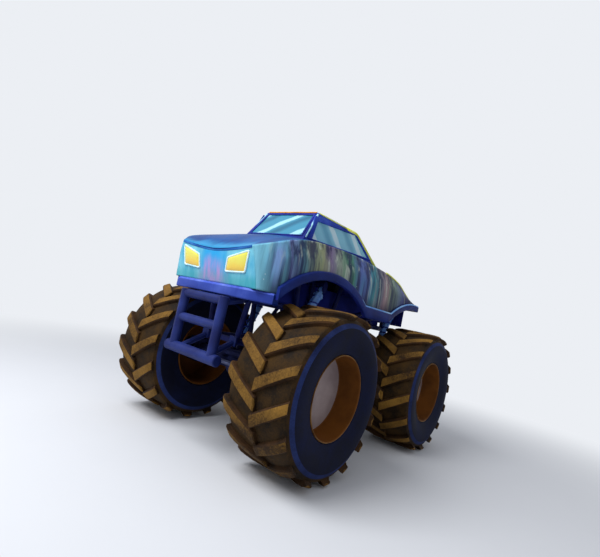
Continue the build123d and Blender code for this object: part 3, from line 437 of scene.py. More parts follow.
class Graph:
    """Node tree of one finish, with short ways to add the nodes that it needs."""

    def __init__(self, name: str) -> None:
        """Starts a material with one shader and its object's coordinates.

        Args:
            name: of the material.
        """
        self.material = bpy.data.materials.new(name)
        self.material.use_nodes = True
        self.tree = self.material.node_tree
        self.shader = self.tree.nodes["Principled BSDF"]
        self.place = self.tree.nodes.new("ShaderNodeTexCoord").outputs["Object"]

    def constant(self, **values: float | Colour) -> None:
        """Sets the shader's own sockets, named with low lines for spaces."""
        for name, value in values.items():
            self.shader.inputs[name.replace("_", " ")].default_value = value

    def wire(self, source: object, socket: Socket) -> None:
        """Feeds a socket from another node's output, or from a plain value.

        Args:
            source: the output or the value.
            socket: the input that takes it.
        """
        if isinstance(source, Socket):
            self.tree.links.new(source, socket)
        else:
            socket.default_value = source

    def noise(
        self, scale: float, detail: float = 4.0, stretch: Triple = (1.0, 1.0, 1.0), rough: float = 0.55
    ) -> Socket:
        """Soft noise between 0 and 1.

        Args:
            scale: waves to a metre.
            detail: finer layers.
            stretch: factor along each axis, so that the noise runs in streaks.
            rough: strength of the finer layers.

        Returns:
            The noise.
        """
        mapping = self.tree.nodes.new("ShaderNodeMapping")
        self.wire(self.place, mapping.inputs["Vector"])
        mapping.inputs["Scale"].default_value = stretch
        node = self.tree.nodes.new("ShaderNodeTexNoise")
        self.wire(mapping.outputs["Vector"], node.inputs["Vector"])
        node.inputs["Scale"].default_value = scale
        node.inputs["Detail"].default_value = detail
        node.inputs["Roughness"].default_value = rough
        return node.outputs["Fac"]

    def ramp(self, value: object, stops: Sequence[tuple[float, str]]) -> Socket:
        """Colour by a value, through soft stops.

        Args:
            value: 0 to 1.
            stops: place and colour code of each stop, ascending.

        Returns:
            The colour.
        """
        node = self.tree.nodes.new("ShaderNodeValToRGB")
        self.wire(value, node.inputs["Fac"])
        stripes = node.color_ramp.elements
        while len(stripes) < len(stops):
            stripes.new(0.5)
        for stripe, (at, _) in zip(stripes, stops):
            stripe.position = at
        for stripe, (_, code) in zip(stripes, stops):
            stripe.color = rgb(code)
        return node.outputs["Color"]

    def mix(self, share: object, a: object, b: object) -> Socket:
        """Colour between two.

        Args:
            share: 0 for the first, 1 for the second.
            a: the first colour.
            b: the second colour.

        Returns:
            The mixed colour.
        """
        node = self.tree.nodes.new("ShaderNodeMix")
        node.data_type = "RGBA"
        for value, index in ((share, 0), (a, 6), (b, 7)):
            self.wire(value, node.inputs[index])
        return node.outputs[2]

    def math(self, operation: str, a: object, b: object = 0.0) -> Socket:
        """One step of arithmetic.

        Args:
            operation: Blender's name of it.
            a: the first value.
            b: the second value.

        Returns:
            The result.
        """
        node = self.tree.nodes.new("ShaderNodeMath")
        node.operation = operation
        self.wire(a, node.inputs[0])
        self.wire(b, node.inputs[1])
        return node.outputs[0]

    def plus(self, a: object, b: object) -> Socket:
        """Two values added."""
        return self.math("ADD", a, b)

    def less(self, a: object, b: object) -> Socket:
        """The first value less the second."""
        return self.math("SUBTRACT", a, b)

    def times(self, a: object, b: object) -> Socket:
        """Two values multiplied."""
        return self.math("MULTIPLY", a, b)

    def swing(self, value: object, size: float) -> Socket:
        """A value between 0 and 1, moved to lie about nothing and scaled."""
        return self.times(self.less(value, 0.5), size)

    def share(self, a: object, b: object, part: float) -> Socket:
        """Mean of two values, of which the second has the given part."""
        return self.plus(self.times(a, 1 - part), self.times(b, part))

    def laid(self, under: object, code: str, place: object, strength: float) -> Socket:
        """A colour laid over another, where a value between 0 and 1 is high."""
        return self.mix(self.times(place, strength), under, rgb(code))

    def step(self, value: object, low: float, high: float) -> Socket:
        """Soft step of a value from 0 to 1.

        Args:
            value: what is stepped.
            low: where the step is 0.
            high: where it is 1, which may be below the first.

        Returns:
            The step.
        """
        node = self.tree.nodes.new("ShaderNodeMapRange")
        node.interpolation_type = "SMOOTHSTEP"
        self.wire(value, node.inputs["Value"])
        node.inputs["From Min"].default_value = low
        node.inputs["From Max"].default_value = high
        return node.outputs["Result"]

    def axes(self) -> tuple[Socket, Socket, Socket]:
        """The place's three coordinates.

        Returns:
            X, y and z.
        """
        node = self.tree.nodes.new("ShaderNodeSeparateXYZ")
        self.wire(self.place, node.inputs[0])
        return node.outputs[0], node.outputs[1], node.outputs[2]

    def colour(self, value: object) -> None:
        """Feeds the shader's base colour."""
        self.wire(value, self.shader.inputs["Base Color"])

    def relief(self, height: object, depth: float, strength: float = 0.5) -> None:
        """Feeds the shader's normal with small bumps.

        Args:
            height: 0 to 1.
            depth: of the bumps, in metres.
            strength: of the effect.
        """
        node = self.tree.nodes.new("ShaderNodeBump")
        node.inputs["Strength"].default_value = strength
        node.inputs["Distance"].default_value = depth
        self.wire(height, node.inputs["Height"])
        self.wire(node.outputs["Normal"], self.shader.inputs["Normal"])

    def orange_peel(self) -> None:
        """Gives the shader the fine bumps of sprayed paint."""
        self.relief(self.noise(90.0, 2.0), 0.0006, 0.25)

    def roughness(self, value: object, low: float, high: float) -> None:
        """Feeds the shader's roughness from a value between 0 and 1.

        Args:
            value: 0 to 1.
            low: roughness at 0.
            high: roughness at 1.
        """
        node = self.tree.nodes.new("ShaderNodeMapRange")
        self.wire(value, node.inputs["Value"])
        node.inputs["To Min"].default_value = low
        node.inputs["To Max"].default_value = high
        self.wire(node.outputs["Result"], self.shader.inputs["Roughness"])


@dataclass(frozen=True)
class BrushedPaint:
    """Paint with broad soft brush clouds, fine hairs in them and a faint orange peel."""

    name: str
    deep: str
    base: str
    light: str
    scale: float = 1.6
    gloss: float = 0.34
    hairs: float = 0.18  # the hairs' part in the colour

    def make(self) -> Material:
        """Builds the paint's nodes.

        Returns:
            The material.
        """
        g = Graph(self.name)
        cloud = g.noise(self.scale, 5.0, (1.0, 1.0, 1.6))
        hair = g.noise(24.0, 3.0, (1.0, 1.0, 0.22))
        both = g.share(cloud, hair, self.hairs)
        g.colour(g.ramp(both, [(0.34, self.deep), (0.5, self.base), (0.68, self.light)]))
        g.roughness(hair, self.gloss, self.gloss + 0.18)
        g.orange_peel()
        g.constant(Specular_IOR_Level=0.06)
        return g.material


@dataclass(frozen=True)
class HoodPaint:
    """Blue paint that turns pale cyan toward the hood's front and side edges; the pale front is a
    painted highlight on the hood's rolled-down lip.
    """

    name: str
    deep: str
    base: str
    light: str
    edge: float  # half-width at which the pale border is full
    fade: float = 0.16  # how far in the border starts
    front: Pair = (1.88, 2.06)  # where the pale front starts and is full
    sway: float = 0.5  # how far the clouds move the border

    def make(self) -> Material:
        """Builds the paint's nodes.

        Returns:
            The material.
        """
        g = Graph(self.name)
        x, y, _ = g.axes()
        cloud = g.noise(1.7, 5.0, (0.7, 1.5, 1.0))
        hair = g.noise(20.0, 3.0, (0.3, 1.0, 1.0))
        wave = g.swing(cloud, self.sway)
        side = g.step(g.plus(g.math("ABSOLUTE", y), wave), self.edge - self.fade, self.edge)
        # pale front: painted highlight on the hood's rolled-down lip
        ahead = g.step(g.plus(x, wave), *self.front)
        border = g.math("MAXIMUM", g.times(side, 0.5), ahead)
        body = g.ramp(g.share(cloud, hair, 0.25), [(0.36, self.deep), (0.62, self.base)])
        g.colour(g.laid(body, self.light, border, 0.75))
        g.roughness(hair, 0.26, 0.44)
        g.orange_peel()
        g.constant(Specular_IOR_Level=0.03)
        return g.material


@dataclass(frozen=True)
class NosePaint:
    """Cyan airbrushed nose: azure in its middle, pink and teal at its foot, pale at its top."""

    name: str
    pale: str = "7cc4d8"
    cyan: str = "3a9cc4"
    azure: str = "2a9cdc"
    pink: str = "c08ac4"
    teal: str = "2f9698"
    middle: Pair = (0.30, 0.06)  # half-widths where the azure starts and is full
    brow: Pair = (2.0, 2.09)  # heights where the pale top starts and is full
    foot: Pair = (1.86, 1.74)  # the same for the teal foot
    bloom: Pair = (1.97, 1.80)  # the same for the pink bloom
    bloom_half: Pair = (0.34, 0.08)  # half-widths where the bloom starts and is full

    def make(self) -> Material:
        """Builds the paint's nodes.

        Returns:
            The material.
        """
        g = Graph(self.name)
        _, y, z = g.axes()
        cloud = g.noise(3.2, 5.0, (1.0, 1.0, 0.35))
        fine = g.noise(14.0, 3.0, (1.0, 1.0, 0.15))
        wave = g.swing(cloud, 0.3)
        out, up = g.plus(g.math("ABSOLUTE", y), wave), g.plus(z, wave)
        sky = g.ramp(g.share(cloud, fine, 0.4), [(0.38, self.cyan), (0.62, self.pale)])
        deep = g.laid(sky, self.azure, g.step(out, *self.middle), 0.85)
        high = g.laid(deep, self.pale, g.step(up, *self.brow), 0.6)
        low = g.laid(high, self.teal, g.step(g.plus(z, g.times(wave, 0.4)), *self.foot), 0.55)
        bloom = g.times(g.step(up, *self.bloom), g.step(out, *self.bloom_half))
        g.colour(g.laid(low, self.pink, g.times(bloom, g.step(fine, 0.2, 0.75)), 0.8))
        g.roughness(cloud, 0.26, 0.44)
        g.constant(Specular_IOR_Level=0.08)
        return g.material


@dataclass(frozen=True)
class StreakPaint:
    """Airbrushed side paint: pale cyan at the nose, then upright streaks over slate violet.

    The colour follows the way back from the nose, bent by noise. Stretched noise draws the streaks,
    which sink into dark violet below, and sparse soft dots catch the light.
    """

    name: str
    stops: tuple[tuple[float, str], ...] = (
        (0.0, "86cfe6"),
        (0.04, "6fb4dc"),
        (0.09, "7c86c4"),
        (0.15, "5c8e9c"),
        (0.21, "98a07c"),
        (0.28, "7f6f96"),
        (0.34, "8f9f90"),
        (0.42, "4f8f70"),
        (0.50, "5a6cb0"),
        (0.58, "3f8f9a"),
        (0.66, "a0848c"),
        (0.74, "7f9a80"),
        (0.86, "4a4f96"),
        (1.0, "2a2f66"),
    )
    slate: str = "23234f"
    dark: str = "171438"
    navy: str = "101538"
    pale: str = "7cc0d6"
    glow: str = "cfdccc"
    sparkle: str = "e8f2f4"
    length: float = 3.7  # the way back that the stops cover
    nose: float = 2.05  # where that way starts
    dusk: Pair = (2.02, 1.76)  # heights where the dark foot starts and is full
    tail: Pair = (2.7, 3.7)  # ways back where the navy tail starts and is full
    tail_slant: float = 1.4  # how much further forward it reaches for each metre down
    front: Pair = (0.36, 0.02)  # ways back where the pale front starts and is full

    def make(self) -> Material:
        """Builds the paint's nodes.

        Returns:
            The material.
        """
        g = Graph(self.name)
        x, _, z = g.axes()
        bend = g.noise(1.3, 3.0, (1.0, 1.0, 0.4))
        fine = g.noise(5.0, 4.0, (1.0, 1.0, 0.10))
        back = g.less(self.nose, x)
        moved = g.plus(g.plus(back, g.swing(bend, 0.8)), g.swing(fine, 0.6))
        tint = g.ramp(g.math("DIVIDE", moved, self.length), self.stops)
        streak = g.step(g.noise(7.0, 5.0, (1.0, 1.0, 0.05), 0.64), 0.40, 0.58)
        shine = g.step(g.noise(12.0, 3.0, (1.0, 1.0, 0.07)), 0.56, 0.70)
        lit = g.laid(g.laid(tint, self.slate, streak, 0.85), self.glow, shine, 0.55)
        sag = g.swing(fine, 0.45)
        toned = g.laid(lit, self.dark, g.step(g.plus(z, sag), *self.dusk), 0.9)
        slanted = g.plus(back, g.times(g.less(2.1, z), self.tail_slant))
        toned = g.laid(toned, self.navy, g.step(slanted, *self.tail), 0.75)
        ahead = g.step(g.plus(back, g.times(sag, 2.0)), *self.front)
        toned = g.laid(toned, self.pale, ahead, 0.8)
        g.colour(g.laid(toned, self.sparkle, self.dots(g), 0.7))
        g.roughness(fine, 0.3, 0.48)
        g.orange_peel()
        g.constant(Specular_IOR_Level=0.04)
        return g.material

    def dots(self, g: Graph) -> Socket:
        """Sparse soft dots round the middles of some cells.

        Args:
            g: the paint's graph.

        Returns:
            1 in a dot and 0 between them.
        """
        cells = g.tree.nodes.new("ShaderNodeTexVoronoi")
        g.wire(g.place, cells.inputs["Vector"])
        cells.inputs["Scale"].default_value = 13.0
        dot = g.step(cells.outputs["Distance"], 0.09, 0.04)
        return g.times(dot, g.step(g.noise(3.0, 2.0), 0.5, 0.6))


@dataclass(frozen=True)
class DustyRubber:
    """Rubber under dust: two tones in soft patches, with a fine grain and small bumps."""

    name: str
    dark: str
    light: str
    patch: float = 5.0
    low: float = 0.4
    high: float = 0.62
    depth: float = 0.003

    def make(self) -> Material:
        """Builds the rubber's nodes.

        Returns:
            The material.
        """
        g = Graph(self.name)
        patch = g.noise(self.patch, 6.0, rough=0.62)
        grain = g.noise(60.0, 3.0)
        g.colour(g.ramp(g.share(patch, grain, 0.25), [(self.low, self.dark), (self.high, self.light)]))
        g.roughness(patch, 0.62, 0.9)
        g.relief(g.plus(patch, g.times(grain, 0.4)), self.depth, 0.6)
        g.constant(Specular_IOR_Level=0.12)
        return g.material


@dataclass(frozen=True)
class TintedGlass:
    """Teal glass with broad slanting bands of painted sky reflection in it."""

    name: str
    deep: str = "266a8a"
    base: str = "3c8cac"
    pale: str = "a2d8e6"
    bands: float = 1.9  # to a metre, along X
    slant: float = 0.75  # their lean, against the height
    aside: float = 0.9  # their lean, against Y

    def make(self) -> Material:
        """Builds the glass's nodes.

        Returns:
            The material.
        """
        g = Graph(self.name)
        x, y, z = g.axes()
        across = g.times(g.plus(x, g.times(y, self.aside)), self.bands)
        leaning = g.plus(across, g.times(z, -self.bands * self.slant))
        wave = g.math("FRACT", g.plus(leaning, g.times(g.noise(2.0, 3.0), 0.35)))
        # pale and deep bands: painted reflection
        stops = [
            (0.0, self.base),
            (0.3, self.base),
            (0.36, self.pale),
            (0.52, self.pale),
            (0.58, self.base),
            (0.74, self.deep),
            (0.84, self.deep),
            (1.0, self.base),
        ]
        g.colour(g.ramp(wave, stops))
        g.constant(Roughness=0.1, Alpha=0.9, Specular_IOR_Level=0.3)
        return g.material


@dataclass(frozen=True)
class LampLens:
    """Ribbed lamp lens, from one colour at the foot to another at the top."""

    name: str
    foot: str
    top: str
    low: float  # height where the top's colour starts
    high: float  # height where it is full
    ribs: float = 260.0  # radians to a metre

    def make(self) -> Material:
        """Builds the lens's nodes.

        Returns:
            The material.
        """
        g = Graph(self.name)
        _, y, z = g.axes()
        share = g.step(g.plus(z, g.swing(g.noise(9.0, 3.0), 0.08)), self.low, self.high)
        g.colour(g.mix(share, rgb(self.foot), rgb(self.top)))
        g.relief(g.math("SINE", g.times(y, self.ribs)), 0.0015, 0.25)
        g.constant(Roughness=0.18, Coat_Weight=0.5, Coat_Roughness=0.05)
        return g.material


@dataclass(frozen=True)
class PaintedMetal:
    """Painted or bare metal with soft patches, scuffs and a fine grain."""

    name: str
    dark: str
    light: str
    metallic: float = 0.0
    gloss: float = 0.35
    patch: float = 7.0

    def make(self) -> Material:
        """Builds the metal's nodes.

        Returns:
            The material.
        """
        g = Graph(self.name)
        g.colour(g.ramp(g.noise(self.patch, 5.0), [(0.38, self.dark), (0.62, self.light)]))
        g.roughness(g.noise(30.0, 3.0), self.gloss, self.gloss + 0.25)
        g.relief(g.noise(70.0, 3.0), 0.0008, 0.3)
        g.constant(Metallic=self.metallic, Specular_IOR_Level=0.15)
        return g.material


# Wheels


@dataclass
class Wheel:
    """Place of one wheel, and its part of the nodes' names."""

    end: End
    side: Side
    axle_x: float = 1.25
    wheel_y: float = 1.01
    hub_z: float = 0.838

    @property
    def name(self) -> str:
        """The wheel's name, as its nodes spell it."""
        return f"{self.end.word}_{self.side.word}"

    @property
    def centre(self) -> Point:
        """The wheel's centre."""
        return (self.end.value * self.axle_x, self.side.value * self.wheel_y, self.hub_z)


@dataclass
class Tyre(Wheel):
    """Lugged tyre: dished sidewalls, a bevelled ring, and slanted tread bars in two staggered rows."""

    radius: float = 0.838
    steps: int = 128  # points round the carcass
    lugs: int = 16  # bars in a row
    lug_over: float = 0.024  # how far a bar passes the tyre's middle
    lug_end: float = 0.384
    lean: float = 0.1215  # a bar is this far ahead at the tyre's middle, and behind at its end
    half_wide: Pair = (0.068, 0.057)  # a bar's half-width at the middle and at its end
    flank: Triple = (0.010, 0.002, -0.012)  # added to it at the foot, the shoulder and the edge
    flat_top: float = 0.88  # share of it that the top keeps before its edge
    below: Pair = (0.014, 0.001)  # the shoulder's and the edge's depth under the top
    shoulder_drop: Triple = (0.016, 0.24, 0.39)  # how far the top drops, and from which y to which
    outer_drop: Triple = (0.012, 0.96, 1.0)  # the same at its outer end, by the share of its length
    inner_drop: Triple = (0.01, -0.02, 0.0)  # the same at its inner end, by that share's negative
    foot_in: Triple = (0.036, 0.9, 1.0)  # how far its foot is drawn in, by the share of its length
    feet: Pairs = ((0.0, 0.784), (0.26, 0.782), (0.352, 0.764), (0.384, 0.768))  # its y and radius
    walls: Pairs = (
        (0.328, 0.425),
        (0.345, 0.440),
        (0.352, 0.470),
        (0.366, 0.520),
        (0.381, 0.575),
        (0.388, 0.630),
        (0.388, 0.684),
        (0.387, 0.694),
    )
    ring: Pairs = ((0.387, 0.694), (0.383, 0.704), (0.368, 0.734), (0.366, 0.738))
    crown: Pairs = (
        (0.366, 0.738),
        (0.353, 0.764),
        (0.347, 0.771),
        (0.310, 0.783),
        (0.260, 0.790),
        (0.13, 0.794),
    )

    def carcass(self, skin: Skin) -> None:
        """Adds the carcass: its profile turned about the axle, one patch to each finish.

        Args:
            skin: the piece that the patches are added to.
        """
        crown = [*self.crown, *[(-y, r) for y, r in reversed(self.crown)]]
        bore = [(-self.walls[0][0], self.walls[0][1]), self.walls[0]]
        for way in (1, -1):
            skin.grid(lathe(self.walls, self.centre, self.steps, way), 0, loop_cols=True)
            skin.grid(lathe(self.ring, self.centre, self.steps, way), 1, loop_cols=True)
        skin.grid(lathe(crown, self.centre, self.steps), 2, loop_cols=True)
        skin.grid(lathe(bore, self.centre, self.steps), 0, loop_cols=True)

    def bars(self, row: int) -> Array:
        """Tread bars of one row.

        A bar runs in a straight line from past the middle to the shoulder. Its section is a block with
        bevelled shoulders, whose foot lies in the carcass and whose top follows the tyre's radius and
        drops a little at both ends.

        Args:
            row: 1 for the row at the tyre's +Y side, -1 for the other.

        Returns:
            Bars by sections by corners by 3.
        """
        s = np.array([0.0, 0.02, 0.2, 0.4, 0.6, 0.8, 0.93, 0.985, 1.0])
        y = -self.lug_over + (self.lug_end + self.lug_over) * s
        middle = self.lean * (1 - 2 * s)
        half = self.half_wide[0] + (self.half_wide[1] - self.half_wide[0]) * s
        drop = ramp(y, self.shoulder_drop) + ramp(s, self.outer_drop) + ramp(-s, self.inner_drop)
        top = self.radius - drop
        foot = np.interp(y, *np.array(self.feet).T)
        block = [*[half + more for more in self.flank], self.flat_top * half + self.flank[-1]]
        across = np.stack(block, -1)
        across = np.concatenate([-across, across[:, ::-1]], -1)
        rise = np.stack([foot, *[top - depth for depth in self.below], top], -1)
        rise = np.concatenate([rise, rise[:, ::-1]], -1)
        at_foot = np.arange(8) % 7 == 0
        drawn_in = at_foot * ramp(s, self.foot_in)[:, None]
        turn = (np.arange(self.lugs) + (row > 0) / 2) * 2 * np.pi / self.lugs
        a = (middle[:, None] + across)[None] / self.radius + turn[:, None, None]
        y = np.broadcast_to(row * (y[:, None] - drawn_in), a.shape)
        return np.stack([rise * np.sin(a), y, rise * np.cos(a)], -1)

    def build(self) -> Piece:
        """Makes the tyre, its bars' tops and flanks in finishes of their own: painted light on the tops,
        painted shade on the flanks.

        Returns:
            The new object.
        """
        skin = Skin(f"tyre_{self.name}_lugged")
        self.carcass(skin)
        # bar tops (slot 3) are dusty tan, lightened as painted light from above; flanks and foot (slot
        # 4) are darker umber as painted shade
        slots = np.array([[4, 4, 3, 3, 3, 4, 4, 4]])
        for row in (1, -1):
            for bar in self.bars(row):
                placed = mirrored(bar, self.side) + np.array(self.centre)
                skin.grid(capped(placed), slots, loop_cols=True)
        finishes = [RUBBER[name] for name in ("wall", "ring", "crown", "lug_top_dust_and_light", "flank")]
        return skin.make(finishes, sharp=30)

    def dress(self) -> None:
        """Builds the tyre and puts it on its wheel."""
        settle(self.build(), f"wheel_{self.name}", "tyre", f"tyre_{self.name}")


@dataclass
class Rim(Wheel):
    """Deep rim: rolled lips, a barrel and a flat disc near its outer end."""

    steps: int = 96  # points round it
    disc: Pairs = ((0.084, 0.0), (0.084, 0.10), (0.084, 0.30), (0.084, 0.388), (0.0845, 0.396))
    barrel: Pairs = (
        (0.0845, 0.396),
        (0.090, 0.404),
        (0.100, 0.4085),
        (0.325, 0.4105),
        (0.338, 0.412),
        (0.344, 0.4165),
    )
    lip: Pairs = ((0.344, 0.4165), (0.3455, 0.420), (0.343, 0.4235), (0.337, 0.4247))
    inner: Pairs = (
        (0.060, 0.0),
        (0.060, 0.4107),
        (-0.338, 0.4107),
        (-0.344, 0.4165),
        (-0.3455, 0.420),
        (-0.337, 0.4247),
    )

    def build(self) -> Piece:
        """Makes the rim as one closed shape turned about the axle.

        Returns:
            The new object.
        """
        skin = Skin(f"rim_{self.name}_turned")
        seat = (self.lip[-1], self.inner[-1])
        patches = ((self.disc, 1), (self.barrel, 0), (self.lip, 2), (self.inner, 0), (seat, 0))
        for profile, slot in patches:
            skin.grid(lathe(profile, self.centre, self.steps, self.side.value), slot, loop_cols=True)
        return skin.make([METAL["barrel"], METAL["disc"], METAL["lip"]], sharp=40)

    def dress(self) -> None:
        """Builds the rim and puts it on its wheel."""
        settle(self.build(), f"wheel_{self.name}", "rim", f"rim_{self.name}")


# Frame


@dataclass
class TubeWork:
    """Round tubes of one node, with bent corners, and the flat plates that belong to them.

    A run that reaches across the truck is made once, any other run and each plate on both sides.
    """

    name: str
    node: str
    slot: str
    runs: list[tuple[list[Point], float]]  # centre line and radius
    plates: list[tuple[Point, Point]] = field(default_factory=list)  # lowest and highest corner
    bend: float = 0.09

    def box(self, low: Point, high: Point, side: Side) -> Array:
        """A plate as square rings, closed at both ends.

        Args:
            low: its lowest corner on the left side.
            high: its highest corner on the left side.
            side: the side that it's made for.

        Returns:
            Grid of rings by corners.
        """
        low, high = mirrored(np.array([low, high]), side)
        square = np.array([[0, 0], [1, 0], [1, 1], [0, 1]])
        ring = low[1:] + (high - low)[1:] * square
        return capped(np.stack([np.column_stack([np.full(4, x), ring]) for x in (low[0], high[0])]))

    def build(self) -> Piece:
        """Makes every run and plate as one object.

        Returns:
            The new object.
        """
        skin = Skin(self.name)
        for path, radius in self.runs:
            line = rounded(path, self.bend)
            across = math.isclose(path[0][1], -path[-1][1])
            for side in [Side.LEFT] if across else list(Side):
                skin.grid(tube(mirrored(line, side), radius, sides=20), loop_cols=True)
        for low, high in self.plates:
            for side in Side:
                skin.grid(self.box(low, high, side), loop_cols=True)
        return skin.make([METAL[self.slot]], sharp=40)

    def dress(self) -> None:
        """Builds the tubes and puts them on the truck."""
        settle(self.build(), "truck", self.slot, self.node)


@dataclass
class FrameWork:
    """The chassis, the roll cage and the skid frame, from centre lines on the left side."""

    posts: tuple[float, ...] = (-1.56, -1.0, -0.43, 0.43, 1.0, 1.66)
    ends: Pair = (-1.592, 1.692)
    belly_x: float = 0.43  # the lower rail is level up to here
    belly_z: float = 1.0
    slope: float = 0.57  # length of its sloped run
    rise: float = 0.13  # how much higher it is past that
    low_y: float = 0.23
    high_y: float = 0.29
    high_z: float = 1.6
    braces: Pairs = ((-1.0, -0.43), (-0.43, 0.0), (0.43, 0.0), (1.0, 0.43))  # x at the foot and the head
    brace_off: float = 0.08  # how far a brace stands from those
    rail: float = 0.038  # radii of the tubes
    strut: float = 0.032
    brace: float = 0.026
    hoop: float = 0.030
    foot_plate: Triple = (0.045, 0.034, 0.012)  # half its length, half its width, and its thickness
    foot_plate_z: float = 1.638
    end_plate: Pair = (0.052, 0.012)  # half its side, and its thickness
    skid_x: float = 2.03
    skid_y: float = 0.318
    skid_post: Triple = (0.95, 1.576, 0.052)  # its foot, its top and its radius
    skid_foot: Triple = (0.424, 0.945, 0.058)  # the lower bar's half-length, height and radius
    skid_high: Triple = (1.27, 1.53, 0.046)  # the two bars above it: their heights and their radius

    def low(self, x: float) -> Point:
        """Point of the lower rail's axis: level in the belly and at the ends, sloped between."""
        share = min(max((abs(x) - self.belly_x) / self.slope, 0.0), 1.0)
        return (x, self.low_y, self.belly_z + self.rise * share)

    def high(self, x: float) -> Point:
        """Point of the upper rail's axis."""
        return (x, self.high_y, self.high_z)

    def between(self, x: float, z: float) -> Point:
        """Point at a height of the leaning plane through both rails."""
        _, y, low_z = self.low(x)
        return (x, y + (self.high_y - y) * (z - low_z) / (self.high_z - low_z), z)

    def span(self, point: Point) -> list[Point]:
        """Line across the truck to a point on its left side."""
        x, y, z = point
        return [(x, -y, z), point]

    def rails(self) -> TubeWork:
        """The four rails, with a square plate on each front end.

        Returns:
            The work.
        """
        half, thick = self.end_plate
        low = [self.low(x) for x in (self.ends[0], *self.posts[1:-1], self.ends[1])]
        high = [self.high(x) for x in self.ends]
        plates = []
        for x, y, z in (low[-1], high[-1]):
            plates.append(((x, y - half, z - half), (x + thick, y + half, z + half)))
        runs = [(low, self.rail), (high, self.rail)]
        return TubeWork("rails_round", "chassis_rails", "frame", runs, plates)

    def struts(self) -> TubeWork:
        """Upright posts between the rails, and the leaning braces between them.

        Returns:
            The work.
        """
        runs = [([self.low(x), self.high(x)], self.strut) for x in self.posts]
        for foot, head in self.braces:
            off = math.copysign(self.brace_off, head - foot)
            runs.append(([self.low(foot + off), self.high(head - off)], self.brace))
        return TubeWork("struts_round", "chassis_struts", "frame", runs)

    def cross_tubes(self) -> TubeWork:
        """Tubes across the truck, at the posts and under the belly.

        Returns:
            The work.
        """
        points = [self.high(x) for x in self.posts]
        points += [self.low(x) for x in self.posts if abs(x) != 1.0]
        points += [self.between(x, 1.24) for x in (-self.belly_x, self.belly_x)]
        points.append(self.low(-0.6))
        runs = [(self.span(point), self.strut) for point in points]
        return TubeWork("cross_tubes_round", "chassis_cross_tubes", "frame", runs)

    def cage(self) -> TubeWork:
        """Main hoop, windscreen hoop, the tubes that join them, two stays and their foot plates.

        Returns:
            The work.
        """
        main = [(0.06, 0.29, 1.645), (0.07, 0.44, 2.37), (0.11, 0.365, 2.742)]
        screen = [(0.86, 0.29, 1.645), (1.11, 0.405, 2.335), (0.945, 0.35, 2.742)]
        stay = (-1.08, 0.29, 1.645)
        lines = [hoop + [(x, -y, z) for x, y, z in reversed(hoop)] for hoop in (main, screen)]
        lines += [self.span(screen[1]), [main[-1], screen[-1]], [main[-1], stay]]
        long, wide, thick = self.foot_plate
        feet = []
        for x, y, _ in (main[0], screen[0], stay):
            low, high = self.foot_plate_z, self.foot_plate_z + thick
            feet.append(((x - long, y - wide, low), (x + long, y + wide, high)))
        runs = [(line, self.hoop) for line in lines]
        return TubeWork("cage_round", "roll_cage", "frame", runs, feet, bend=0.12)

    def skid_posts(self) -> TubeWork:
        """The skid frame's two upright posts.

        Returns:
            The work.
        """
        foot, top, radius = self.skid_post
        line = [(self.skid_x, self.skid_y, foot), (self.skid_x, self.skid_y, top)]
        return TubeWork("skid_posts_round", "skid_frame_posts", "skid", [(line, radius)])

    def skid_bars(self) -> TubeWork:
        """The skid frame's thick lower bar and the two bars above it.

        Returns:
            The work.
        """
        half, z, radius = self.skid_foot
        runs = [(self.span((self.skid_x, half, z)), radius)]
        *heights, radius = self.skid_high
        runs += [(self.span((self.skid_x, self.skid_y, z)), radius) for z in heights]
        return TubeWork("skid_bars_round", "skid_frame_bars", "skid", runs)

    def dress(self) -> None:
        """Builds all the works in order and puts them on the truck."""
        chassis = (self.rails, self.struts, self.cross_tubes, self.cage)
        for work in (*chassis, self.skid_posts, self.skid_bars):
            work().dress()


@dataclass
class Coils:
    """Coil springs round the two shocks of an axle: a flat-topped wire along a helix."""

    end: End
    foot: Point
    head: Point
    start: float = 0.146  # from the foot
    stop: float = 0.114  # from the head
    radius: float = 0.0515
    wire: Pair = (0.0055, 0.0105)  # half its depth and half its width
    corners: float = 1.05  # its corners' distance over that
    turns: float = 7.5
    steps: int = 28  # points in a turn

    def helix(self, side: Side) -> Array:
        """One spring: the centre line's point, plus the radius turned round it, plus the wire's section.

        Args:
            side: the side of the truck that it stands on.

        Returns:
            Grid of rings along the wire.
        """
        foot, head = mirrored(np.array([self.foot, self.head]), side)
        way = unit(head - foot)
        length = np.linalg.norm(head - foot) - self.start - self.stop
        s = np.linspace(0, 1, int(self.turns * self.steps))
        across = unit(np.cross(way, [0.0, 1.0, 0.0]))
        over = np.cross(way, across)
        a = s * self.turns * 2 * np.pi
        out = np.cos(a)[:, None] * across + np.sin(a)[:, None] * over
        climb = s * (length - 2 * self.wire[1]) + self.wire[1]
        line = foot + way * (self.start + climb)[:, None] + self.radius * out
        b = np.arange(8) * np.pi / 4 + np.pi / 8
        section = np.column_stack([np.cos(b), np.sin(b)]) * self.wire * self.corners
        return capped(carried(line, section, out, np.broadcast_to(way, out.shape)))

    def dress(self) -> None:
        """Builds both springs and puts them on the truck."""
        skin = Skin(f"springs_{self.end.word}_coiled")
        for side in Side:
            skin.grid(self.helix(side), loop_cols=True)
        piece = skin.make([METAL["coil"]], sharp=50)
        settle(piece, "truck", "spring", f"shock_springs_{self.end.word}")


# Body


